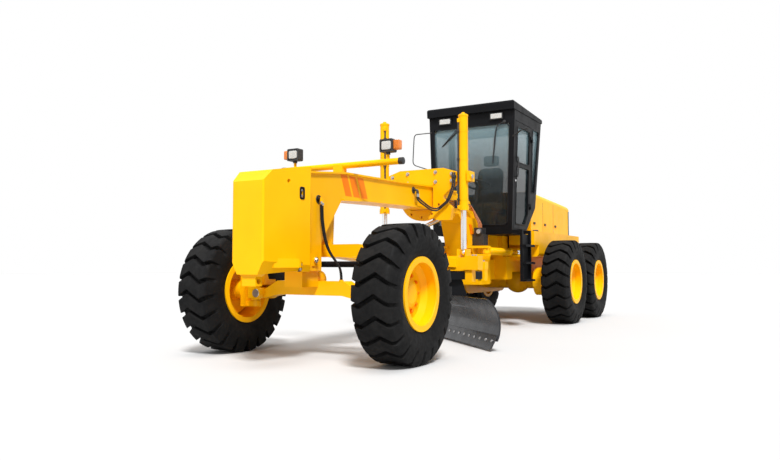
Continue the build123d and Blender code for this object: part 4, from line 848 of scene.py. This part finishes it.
@dataclass
class AxleHose:
    """A hydraulic hose that hangs from an elbow on the nose leg down to a gland on the front axle."""

    name: str
    route: Points
    length: float
    diameter: float = 0.022

    def build(self) -> bpy.types.Object:
        """Returns:
            The hose's curve object.
        """
        curve = bpy.data.curves.new(self.name, "CURVE")
        curve.dimensions = "3D"
        curve.bevel_depth = self.diameter / 2
        curve.bevel_resolution = 6
        curve.resolution_u = 16
        curve.use_fill_caps = True
        spline = curve.splines.new("NURBS")
        spline.points.add(len(self.route) - 1)
        points = np.column_stack((np.asarray(self.route), np.ones(len(self.route))))
        spline.points.foreach_set("co", points.ravel())
        spline.order_u = 3
        spline.use_endpoint_u = True
        hose = add(self.name, curve)
        SHOP.coat(hose, Finish.HOSE)
        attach(hose, FRONT)
        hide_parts(self.name.replace("laid_", ""))
        LOG.info("%s: a hose of %.3f m", self.name, self.length)
        return hose


@dataclass
class NoseDress:
    """Bolts of the counterweight and the nose leg, black blocks and beads that paint the shade in the
    counterweight's bolt slots, and the sleeves of the hose elbows.
    """

    slot_x: float = 3.975
    slot_floor: float = 0.212
    slot_heights: Numbers = (1.610, 1.665, 0.910, 0.955)
    slot_ends: Profile = ((1.586, 1.689), (0.885, 0.979))
    slot_face: float = 0.252
    slot_half: float = 0.0156
    shade_rim_half: float = 0.024
    taper: float = 0.134
    # Depth of the black blocks in the bolt slots, which are painted shade.
    painted_shade_depth: float = 0.022
    lug: Point = (3.640, 0.176, 1.000)
    elbows: Profile = ((3.582, 1.560), (3.556, 1.548))
    elbow_y: float = 0.190
    passage: Point = (3.570, 0.150, 1.614)
    grommet: Profile = ((0.000, 0.033), (0.006, 0.035), (0.008, 0.039), (0.006, 0.044), (0.000, 0.046))

    def dress(self) -> None:
        """Make the nose's small pieces."""
        near, far = self.slot_floor - 0.002, self.slot_floor + self.painted_shade_depth
        spots = [(self.slot_x, far, height) for height in self.slot_heights]
        pair("nose_bolts", bolt_heads(spots, LEFT, 0.013, 0.018), Finish.BOLT, FRONT)
        pair("leg_bolt", bolt_heads([self.lug], LEFT, 0.022, 0.018), Finish.BOLT, FRONT)
        collars = [nut(0.004, 0.030, 0.016, (x, self.elbow_y, z)) for x, z in self.elbows]
        skin("elbow_nuts", collars, Finish.BOLT, FRONT, smooth=False)
        skin("passage_grommet", [lathe(self.grommet, self.passage, LEFT, 40)], Finish.BLACK, FRONT)
        x, y, z = self.passage
        back = stud((x, y - 0.039, z), LEFT, 0.0312, 0.002, 40)
        sleeves = [bar([(x, y - 0.037, z + 0.060), (x, self.elbow_y, z + 0.060)], 0.0128, 20)
                   for x, z in self.elbows]
        skin("elbow_sleeves", [back, *sleeves], Finish.BLACK, FRONT)
        # Painted shade: a black block fills each bolt slot's floor out to the bolts' feet.
        rear, front = self.slot_x - self.slot_half, self.slot_x + self.slot_half
        painted_shade_blocks = [cushion((rear, near, low), (front, far, high), 0.3, 32) for low, high in self.slot_ends]
        pair("slot_painted_shade", painted_shade_blocks, Finish.BLACK, FRONT)
        # Painted shade: a black bead round the upper slot's opening darkens its edge.
        (low, high), half = self.slot_ends[0], self.shade_rim_half
        corners = [(self.slot_x + along, self.slot_face - self.taper * along, z)
                   for along, z in ((half, low), (half, high), (-half, high), (-half, low))]
        pair("slot_rim_painted_shade", [hoop(corners, 0.010, 0.2)], Finish.HOSE, FRONT, round_rows=True)


@dataclass
class LampDress:
    """Lenses of the head lamps and the end caps of their bar."""

    bar: Point = (2.970, 0.800, 2.040)
    cap: Profile = ((-0.045, 0.0), (-0.045, 0.0375), (0.004, 0.0375), (0.008, 0.030), (0.008, 0.0))
    lamp: Point = (2.970, 0.620, 2.210)

    def dress(self) -> None:
        """Make lenses, caps and nuts."""
        x, y, z = self.lamp
        lens = cushion((x + 0.032, y - 0.054, z - 0.045), (x + 0.056, y + 0.054, z + 0.045), 0.22)
        pair("head_lens", [lens], Finish.CLEAR_LENS, FRONT)
        lens = cushion((x - 0.045, y + 0.074, z - 0.046), (x + 0.032, y + 0.145, z + 0.056), 0.22)
        pair("turn_lens", [lens], Finish.AMBER_LENS, FRONT)
        pair("bar_cap", [lathe(self.cap, self.bar, LEFT, 28)], Finish.BLACK, FRONT)
        pair("lamp_nut", [nut(-0.022, 0.0, 0.026, (x, y, z - 0.070))], Finish.BLACK, FRONT, smooth=False)


@dataclass
class BeamDress:
    """Warning stripes on the frame beam, and bolts and oil pipes of the lift saddle."""

    side: float = 0.150
    film: float = 0.0015
    top: float = 1.916
    bottom: float = 1.694
    stripe: float = 0.125
    slant: float = 0.095
    starts: Numbers = (3.050, 2.887, 2.724)
    saddle_x: float = 1.020
    bolts: Profile = ((0.21, 2.185), (0.21, 2.055), (0.45, 2.150), (0.45, 2.060))
    port: Point = (1.545, 0.150, 1.900)
    pipe_gap: float = 0.060
    pipe: float = 0.011
    pipe_steps: Numbers = (0.0, 0.028)
    clip: Points = ((1.038, 0.470, 2.085), (1.078, 0.528, 2.125))

    def dress(self) -> None:
        """Make stripes and bolts on both sides, and the pipes on the left."""
        corners = ((0.0, self.top), (self.stripe, self.top), (self.stripe - self.slant, self.bottom),
                   (-self.slant, self.bottom))
        plates = [prism([(start + x, self.side, z) for x, z in corners], self.film * LEFT)
                  for start in self.starts]
        pair("slanted_stripes", plates, Finish.ORANGE, FRONT, smooth=False)
        spots = [(self.saddle_x, y, z) for y, z in self.bolts]
        pair("saddle_bolts", bolt_heads(spots, AHEAD, 0.019, 0.022), Finish.BOLT, FRONT)
        self.pipes()

    def pipes(self) -> None:
        """Two oil pipes from a port in the beam's left side, round the saddle to the left cylinder."""
        port_x, face, port_z = self.port
        side = face + self.pipe_gap
        runs, nuts = [], []
        for step in self.pipe_steps:
            x = port_x - step
            corners = [(x, face - 0.01, port_z), (x, side, port_z), (x, side, 1.770 + step),
                       (1.160, side, 1.668 + step), (1.062, 0.260, 1.662 + step),
                       (1.062, 0.430 - step, 1.790), (1.062, 0.510 - step, 1.980),
                       (1.062, 0.512 - step, 2.160)]
            runs.append(bar(bent(corners, 0.3), self.pipe))
            nuts.append(nut(-0.02, 0.02, 0.017, (x, side, 1.830)))
        skin("saddle_pipes", runs, Finish.BLACK, FRONT)
        middle = (port_x - sum(self.pipe_steps) / 2, face, port_z)
        skin("pipe_port", [stud(middle, LEFT, 0.044, 0.010, 32)], Finish.BLACK, FRONT)
        skin("pipe_nuts", nuts, Finish.BOLT, FRONT, smooth=False)
        skin("pipe_end_clip", [cushion(*self.clip, 0.16, 24)], Finish.BLACK, FRONT)


@dataclass
class LiftDress:
    """Oil pipe, straps, cap and trunnion head of each blade-lift cylinder."""

    centre: Point = (0.980, 0.600, 0.0)
    radius: float = 0.062
    top: float = 2.920
    trunnion: Point = (0.980, 0.725, 2.100)
    straps: Numbers = (1.800, 2.330, 2.700)
    pipe: float = 0.011
    pipe_angle: float = math.radians(35.0)
    pipe_ends: Numbers = (1.715, 1.722, 2.815, 2.826)
    ports: Numbers = (1.700, 2.842)
    port_out: float = 0.067
    clip_half: Point = (0.017, 0.017, 0.014)
    port_half: Point = (0.018, 0.018, 0.026)

    def dress(self) -> None:
        """Make the cylinders' fittings."""
        body, middle = "lift_barrel_*", np.array(self.centre)
        way = math.cos(self.pipe_angle) * AHEAD - math.sin(self.pipe_angle) * LEFT
        pipe, port = middle + (self.radius + self.pipe + 0.004) * way, middle + self.port_out * way
        run = [place + z * UP for place, z in zip((port, pipe, pipe, port), self.pipe_ends)]
        pair("lift_pipe", [bar(bent(run, 0.08), self.pipe)], Finish.BLACK, body)
        wide, lip = self.radius + 0.003, self.radius + 0.004
        band = [(-0.008, self.radius), (-0.008, wide), (0.008, wide), (0.008, self.radius)]
        straps = [lathe(band, middle + z * UP, UP, 48) for z in self.straps]
        pair("lift_straps", straps, Finish.YELLOW, body)
        clips = [cushion(pipe + z * UP - self.clip_half, pipe + z * UP + self.clip_half, 0.2, 24)
                 for z in self.straps]
        pair("lift_clips", clips, Finish.BLACK, body)
        blocks = [cushion(port + z * UP - self.port_half, port + z * UP + self.port_half, 0.16, 24)
                  for z in self.ports]
        pair("lift_ports", blocks, Finish.YELLOW, body)
        cap = [(-0.020, self.radius), (-0.020, lip), (0.002, lip), (0.010, 0.052), (0.010, 0.024),
               (0.028, 0.024), (0.034, 0.018), (0.034, 0.0)]
        pair("lift_cap", [lathe(cap, middle + self.top * UP, UP, 48)], Finish.YELLOW, body)
        pair("lift_trunnion", [stud(self.trunnion, LEFT, 0.030, 0.012)], Finish.BOLT, body)


@dataclass
class BladeDress:
    """Plough bolts along the blade's cutting edge."""

    pivot_x: float = 0.740
    angle: float = math.radians(43.0)
    shift: float = 0.016
    half: float = 1.930
    bolts: int = 26
    edge_x: float = 0.7500
    edge_z: float = 0.1145
    lean: tuple[float, float] = (0.873, 0.488)

    def placed(self, points: np.ndarray) -> np.ndarray:
        """Points drawn square to the machine, turned to the blade's angle about the circle.

        Args:
            points: rows of X, Y and Z.

        Returns:
            The turned points.
        """
        x, y, z = (points - (self.pivot_x, -self.shift, 0.0)).T
        cos, sin = math.cos(self.angle), math.sin(self.angle)
        return np.stack((self.pivot_x + x * cos + y * sin, y * cos - x * sin, z), -1)

    def dress(self) -> None:
        """Make the bolt row, set on the edge's sloping front face."""
        along = np.linspace(-self.half, self.half, self.bolts)
        feet = self.placed(np.stack((0 * along + self.edge_x, along, 0 * along + self.edge_z), -1))
        ahead = self.placed(np.array([(self.pivot_x + self.lean[0], -self.shift, self.lean[1])]))[0]
        axis = ahead - np.array((self.pivot_x, 0.0, 0.0))
        heads = [stud(foot, axis, 0.019, 0.009, 18) for foot in feet.tolist()]
        skin("edge_bolts", heads, Finish.BOLT, "blade")


@dataclass
class DrawbarDress:
    """Bolts of the circle's guide shoes and caps of the front axle's pins."""

    shoes: Points = ((0.930, 0.745, 1.065), (1.030, 0.745, 1.065), (0.270, 0.5825, 0.995),
                     (0.330, 0.5825, 0.995))
    kingpin: Point = (3.440, 0.780, 0.855)
    lean_pin: Point = (3.585, 0.655, 0.650)

    def dress(self) -> None:
        """Make bolts and caps."""
        pair("shoe_bolts", bolt_heads(self.shoes, UP, 0.017, 0.018), Finish.BOLT, "drawbar")
        pair("kingpin_cap", [stud(self.kingpin, UP, 0.042, 0.012)], Finish.ORANGE, "knuckle_*")
        pair("lean_cap", [stud(self.lean_pin, AHEAD, 0.046, 0.010)], Finish.BOLT, "lean_yoke_*")


@dataclass
class CabDress:
    """Window seals, door handles, wipers, lamp lenses, mirror rods, step studs and step backs of the cab.

    Spots on the leaning left wall are given as X, height up the wall and distance out of its face.
    """

    wall_foot: float = 0.660
    wall_floor: float = 1.414
    wall_lean: float = math.radians(1.963)
    screen: Points = ((-0.660, -0.588, 1.560), (-0.660, 0.588, 1.560), (-0.660, 0.641, 3.110),
                      (-0.660, -0.641, 3.110))
    back: Points = ((-1.7683, -0.563, 2.150), (-1.7683, 0.563, 2.150), (-1.9091, 0.598, 3.160),
                    (-1.9091, -0.598, 3.160))
    door_panes: tuple[Points, ...] = (
        ((-0.800, 1.1137, 0.0), (-0.800, 1.6601, 0.0), (-1.370, 1.6601, 0.0), (-1.370, 1.1137, 0.0)),
        ((-0.800, 0.160, 0.0), (-0.800, 1.0537, 0.0), (-1.370, 1.0537, 0.0), (-1.370, 0.330, 0.0),
         (-1.235, 0.160, 0.0)))
    side_pane: Points = ((-1.510, 0.700, 0.0), (-1.510, 1.7301, 0.0), (-1.8169, 1.7301, 0.0),
                         (-1.6733, 0.700, 0.0))
    grip: Points = ((-0.764, 0.880, -0.004), (-0.764, 0.880, 0.040), (-0.764, 1.180, 0.040),
                    (-0.764, 1.180, -0.004))
    lock: Point = (-0.764, 0.820, 0.0)
    roof_lens: Points = ((-0.636, 0.345, 3.192), (-0.622, 0.525, 3.268))
    tail_lens: Points = ((-4.398, 0.48, 0.985), (-4.376, 0.60, 1.065))
    seal: float = 0.009
    wipers: tuple[Numbers, ...] = ((-0.180, -0.240, -0.500, 2.840), (0.560, 0.420, 0.360, 2.520))
    steps: Numbers = (0.730, 0.990, 1.250)
    step_plate: Profile = ((-0.985, 0.724), (-0.655, 0.724), (-0.655, 1.412), (-0.985, 1.412))
    step_back: float = 0.802

    def dress(self) -> None:
        """Make everything on the cab."""
        self.seals()
        pair("roof_lens", [cushion(*self.roof_lens, 0.2)], Finish.CLEAR_LENS, REAR)
        pair("tail_lens", [cushion(*self.tail_lens, 0.2)], Finish.RED_LENS, REAR)
        self.wiper()
        self.doors()
        self.treads()

    def on_wall(self, spots: Points) -> np.ndarray:
        """Points of the frame for spots on the left wall.

        Args:
            spots: X, height up the wall, and distance out of its face.

        Returns:
            Rows of X, Y and Z.
        """
        x, height, out = np.asarray(spots, float).T
        sin, cos = math.sin(self.wall_lean), math.cos(self.wall_lean)
        return np.stack((x, self.wall_foot + height * sin + out * cos,
                         self.wall_floor + height * cos - out * sin), -1)

    def seals(self) -> None:
        """Rubber beads round the panes that don't open."""
        beads = [hoop(pane, self.seal, 0.06) for pane in (self.screen, self.back)]
        side = hoop(self.on_wall(self.side_pane), self.seal, 0.08)
        beads += [side * (1.0, sign, 1.0) for sign in SIDES.values()]
        skin("pane_seals", beads, Finish.HOSE, REAR, round_rows=True)

    def doors(self) -> None:
        """Seals, handles and locks of the doors."""
        beads = [hoop(self.on_wall(pane), self.seal, 0.07) for pane in self.door_panes]
        pair("door_seals", beads, Finish.HOSE, "door_*", round_rows=True)
        pair("door_handle", [bar(bent(self.on_wall(self.grip), 0.3), 0.011)], Finish.BLACK, "door_*")
        lock = stud(self.on_wall([self.lock])[0], LEFT, 0.018, 0.010)
        pair("door_lock", [lock], Finish.CHROME, "door_*")

    def wiper(self) -> None:
        """Two wipers at the top of the windscreen, and the mirror rods at the front pillars."""
        wipers = []
        for pivot, elbow, tip, foot in self.wipers:
            arm = bent([(-0.642, pivot, 3.135), (-0.640, elbow, 3.080), (-0.668, tip, foot)], 0.4)
            blade = [(-0.672, elbow, 3.060), (-0.674, (elbow + tip) / 2, (3.060 + foot) / 2),
                     (-0.672, tip, foot)]
            wipers += [stud((-0.660, pivot, 3.135), AHEAD, 0.024, 0.026), bar(arm, 0.007),
                       bar(blade, 0.009)]
        skin("screen_wipers", wipers, Finish.BLACK, REAR)
        loop = bent([(-0.664, -0.690, 3.080), (-0.520, -0.930, 3.050), (-0.505, -0.950, 2.560),
                     (-0.664, -0.682, 2.460)], 0.16)
        arm = bent([(-0.664, 0.690, 2.900), (-0.560, 0.860, 2.960), (-0.500, 0.980, 2.965)], 0.3)
        skin("mirror_rods", [bar(loop, 0.008), bar(arm, 0.012)], Finish.BLACK, REAR)

    def treads(self) -> None:
        """Grip studs and back plates of the steps."""
        along = np.linspace(-0.98, -0.66, 9)
        spots = [(x, y, z) for z in self.steps for y in (0.822, 0.878) for x in along]
        pair("step_studs", [stud(spot, UP, 0.008, 0.005, 8) for spot in spots], Finish.CHARCOAL, REAR)
        plate = prism([(x, self.step_back, z) for x, z in self.step_plate], 0.006 * LEFT)
        pair("step_back", [plate], Finish.CHARCOAL, REAR, smooth=False)


@dataclass
class SeatDress:
    """Upholstery of the operator's seat: crowned cushions in the place of the plain CAD ones."""

    nodes: tuple[str, ...] = ("seat_cushion", "seat_backrest")
    post_x: float = -1.505
    lean: float = 0.080
    head: tuple[Point, Point] = ((-1.560, -0.130, 2.590), (-1.470, 0.130, 2.770))

    def dress(self) -> None:
        """Make the cushions, the head rest and its posts."""
        for node in self.nodes:
            pad = skin(f"crowned_{node}", [self.leaning(node)], Finish.SEAT, REAR)
            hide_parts(node)
        rest = skin("crowned_head_rest", [cushion(*self.head, 0.42, 48)], Finish.SEAT, REAR)
        x = self.post_x
        posts = [bar([(x, y, 2.500), (x - 0.004, y, 2.560), (x - 0.008, y, 2.620)], 0.006)
                 for y in (-0.06, 0.06)]
        skin("head_rest_posts", posts, Finish.CHROME, REAR)

    def leaning(self, node: str) -> np.ndarray:
        """Grid of one cushion; the back rest's leans back as it goes up.

        Args:
            node: the CAD node it stands for.

        Returns:
            A grid of points, closed along its columns.
        """
        low, high = (np.array(corner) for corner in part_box(node))
        lean = 0.0 if node == "seat_cushion" else self.lean
        grid = cushion(low + (lean, 0.0, 0.0), high, 0.34, 56)
        grid[..., 0] -= lean * (grid[..., 2] - low[2]) / (high[2] - low[2])
        return grid


@dataclass
class HoodDress:
    """Panel joints, latches, filler caps and dark rear posts of the hood, and the tandem cases' bolts."""

    half: float = 0.500
    joints: Numbers = (-3.300, -2.680)
    joint_half: float = 0.005
    foot: float = 1.515
    top: float = 2.050
    sill: Numbers = (-4.280, -2.060, 1.505, 1.515)
    post: Numbers = (-4.340, -4.285, 1.515, 1.995)
    latches: Numbers = (-3.42, -2.80, -2.20)
    filler: Point = (-1.900, 0.620, 1.490)
    tandem_face: float = 0.838

    def dress(self) -> None:
        """Make the small pieces."""
        strips = [self.strip((x - self.joint_half, x + self.joint_half, self.foot, self.top), 0.0012)
                  for x in self.joints]
        strips += [self.strip(self.sill, 0.0012), self.strip(self.post, 0.002)]
        pair("hood_joints", strips, Finish.BLACK, REAR, smooth=False)
        near, far = self.half - 0.004, self.half + 0.014
        latches = [cushion((x - 0.045, near, 1.640), (x + 0.045, far, 1.680), 0.16, 24)
                   for x in self.latches]
        pair("hood_latches", latches, Finish.BLACK, REAR)
        pair("filler_cap", [stud(self.filler, UP, 0.055, 0.040)], Finish.BLACK, REAR)
        along = np.linspace(-3.30, -2.22, 9)
        spots = [(x, self.tandem_face, z) for z in (0.485, 0.865) for x in along]
        pair("tandem_bolts", bolt_heads(spots, LEFT, 0.012, 0.012), Finish.BOLT, REAR)

    def strip(self, ends: Numbers, thickness: float) -> np.ndarray:
        """An upright rectangle on the hood's left side.

        Args:
            ends: its rear and front X, and its lower and upper height.
            thickness: how far it stands out.

        Returns:
            A grid of points, closed along its columns.
        """
        rear, front, low, high = ends
        corners = ((rear, low), (front, low), (front, high), (rear, high))
        return prism([(x, self.half, z) for x, z in corners], thickness * LEFT)


@dataclass
class HydraulicDress:
    """Copper pipes of the valve bank, the pressure gauge and its orange bracket."""

    bank: Point = (-0.3825, 0.285, 1.500)
    pitch: float = 0.040
    pipe: float = 0.009
    clamps: Numbers = (0.28, 0.62)
    gauge: Point = (-0.250, 0.300, 1.440)
    bracket: Points = ((-0.30, 0.190, 1.405), (-0.19, 0.190, 1.405), (-0.12, 0.190, 1.545),
                       (-0.20, 0.190, 1.545))

    def dress(self) -> None:
        """Make the pipes from each spool forward along the beam's left side."""
        x, y, z = self.bank
        runs = []
        for row in range(4):
            start = x + self.pitch * row
            level = 1.775 + 0.026 * row
            run = [(start, y, z - 0.004), (start, y, z + 0.060), (start + 0.10, 0.215, level - 0.02),
                   (0.160, 0.163, level), (0.880 - 0.03 * row, 0.163, level)]
            runs.append(bar(bent(run, 0.22), self.pipe))
        skin("spool_pipes", runs, Finish.COPPER, FRONT)
        clamps = [cushion((at - 0.018, 0.150, 1.758), (at + 0.018, 0.180, 1.872), 0.12, 24)
                  for at in self.clamps]
        skin("pipe_clamps", clamps, Finish.BLACK, FRONT)
        skin("gauge_case", [stud(self.gauge, AHEAD, 0.048, 0.030, 40)], Finish.BLACK, FRONT)
        face = (self.gauge[0] + 0.0302, *self.gauge[1:])
        skin("gauge_face", [stud(face, AHEAD, 0.032, 0.002, 40)], Finish.DIAL, FRONT)
        skin("gauge_bracket", [prism(self.bracket, 0.012 * LEFT)], Finish.ORANGE, FRONT, smooth=False)


@dataclass
class NodePaint:
    """The finish of each CAD node that stays in view."""

    rules: tuple[tuple[str, Finish], ...] = (
        ("rim_", Finish.YELLOW), ("tyre_", Finish.TYRE), ("cab_glass", Finish.GLASS),
        ("door_glass", Finish.GLASS), ("cab_lamps", Finish.BLACK), ("head_lamps", Finish.BLACK),
        ("cab_interior", Finish.BLACK), ("cab_", Finish.CHARCOAL), ("door_", Finish.CHARCOAL),
        ("moldboard", Finish.BLADE), ("cutting_edge", Finish.BLADE), ("circle", Finish.CHARCOAL),
        ("tie_rod", Finish.CHARCOAL), ("lift_rod", Finish.CHROME), ("artic_rod", Finish.CHROME),
        ("centre_shift_rod", Finish.CHROME), ("engine_block", Finish.CAST), ("valve_bank", Finish.CAST),
        ("seat_", Finish.SEAT), ("axle_hose", Finish.HOSE))

    def dress(self) -> None:
        """Paint every CAD node, golden where no rule names it."""
        for name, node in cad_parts.items():
            finish = next((choice for start, choice in self.rules if name.startswith(start)), Finish.YELLOW)
            SHOP.coat(node, finish)
            LOG.info("%s: %s", name, finish.value.name)


@dataclass
class Studio:
    """Camera at the photograph's angle, soft light and a pale floor."""

    eye: Point = (9.2207, 4.26789, 0.95553)
    heading: float = 210.125
    pitch: float = 2.861
    focal_pixels: float = 687.085
    picture_width: int = 780
    sensor: float = 36.0
    floor_radius: float = 60.0
    floor_colour: Colour = (0.56, 0.56, 0.56)
    sky_light: float = 0.36
    suns: tuple[tuple[str, Point, float, float], ...] = (
        ("key_sun", (0.64, 0.52, 1.0), 4.2, 12.0), ("top_sun", (0.10, 0.05, 1.0), 1.2, 28.0),
        ("fill_sun", (0.9, -0.9, 0.55), 0.3, 40.0))

    def build(self) -> None:
        """Set up everything that isn't the machine."""
        self.camera()
        self.lights()
        self.floor()
        bpy.context.scene.view_settings.view_transform = "Standard"

    def camera(self) -> None:
        """Place the camera by its heading and pitch, level across."""
        turn, tilt = math.radians(self.heading), math.radians(self.pitch)
        ahead = Vector((math.cos(tilt) * math.cos(turn), math.cos(tilt) * math.sin(turn), math.sin(tilt)))
        across = ahead.cross(Vector((0, 0, 1))).normalized()
        above = across.cross(ahead)
        lens = bpy.data.cameras.new("photo_camera")
        lens.sensor_width = self.sensor
        lens.sensor_fit = "HORIZONTAL"
        lens.lens = self.focal_pixels / self.picture_width * self.sensor
        lens.clip_end = 300.0
        camera = add("photo_camera", lens)
        turned = Matrix((across, above, -ahead)).transposed().to_4x4()
        camera.matrix_world = Matrix.Translation(self.eye) @ turned
        bpy.context.scene.camera = camera

    def lights(self) -> None:
        """Three broad suns, and a sky that is white to the eye and softer as a light."""
        for name, towards, strength, angle in self.suns:
            sun = bpy.data.lights.new(name, "SUN")
            sun.energy = strength
            sun.angle = math.radians(angle)
            add(name, sun).rotation_euler = Vector(towards).to_track_quat("Z", "Y").to_euler()
        world = bpy.data.worlds.new("studio_sky")
        bpy.context.scene.world = world
        world.use_nodes = True
        tree = world.node_tree
        rays = tree.nodes.new("ShaderNodeLightPath")
        seen = rays.outputs["Is Camera Ray"]
        for kind in ("Is Glossy Ray", "Is Transmission Ray"):
            larger = tree.nodes.new("ShaderNodeMath")
            larger.operation = "MAXIMUM"
            tree.links.new(seen, larger.inputs[0])
            tree.links.new(rays.outputs[kind], larger.inputs[1])
            seen = larger.outputs["Value"]
        level = tree.nodes.new("ShaderNodeMapRange")
        level.inputs["To Min"].default_value = self.sky_light
        level.inputs["To Max"].default_value = 1.0
        tree.links.new(seen, level.inputs["Value"])
        tree.nodes["Background"].inputs["Color"].default_value = (1.0, 1.0, 1.0, 1.0)
        tree.links.new(level.outputs["Result"], tree.nodes["Background"].inputs["Strength"])

    def floor(self) -> None:
        """A wide pale disc: rings of points at growing radii."""
        radii = np.array((0.0, 6.0, 14.0, 30.0, self.floor_radius))
        grid = radii[:, None, None] * ring(AHEAD, LEFT, 64)
        mesh = bpy.data.meshes.new("studio_floor")
        faces = grid_faces(*grid.shape[:2], False)
        mesh.from_pydata(grid.reshape(-1, 3).tolist(), [], faces[:, ::-1].tolist())
        floor = add("studio_floor", mesh)
        book = NodeBook("pale_floor")
        book.set(Base_Color=book.ramp(book.noise(0.6), 0.3, 0.7, shaded(self.floor_colour, 0.985),
                                      self.floor_colour), Roughness=0.8)
        mesh.materials.append(book.material)


def main() -> None:
    """Dress the machine piece by piece and set up the studio."""
    logging.basicConfig(level=logging.INFO, format="%(name)s %(message)s")
    Studio().build()
    for name, (route, length) in HOSE_ROUTES.items():
        AxleHose(name, route, length).build()
    NodePaint().dress()
    for name in WHEELS:
        Tyre(name).build()
        WheelDress(name).build()
    for part in (NoseDress(), LampDress(), BeamDress(), LiftDress(), BladeDress(), DrawbarDress(),
                 CabDress(), SeatDress(), HoodDress(), HydraulicDress()):
        part.dress()


if __name__ == "__main__":
    main()
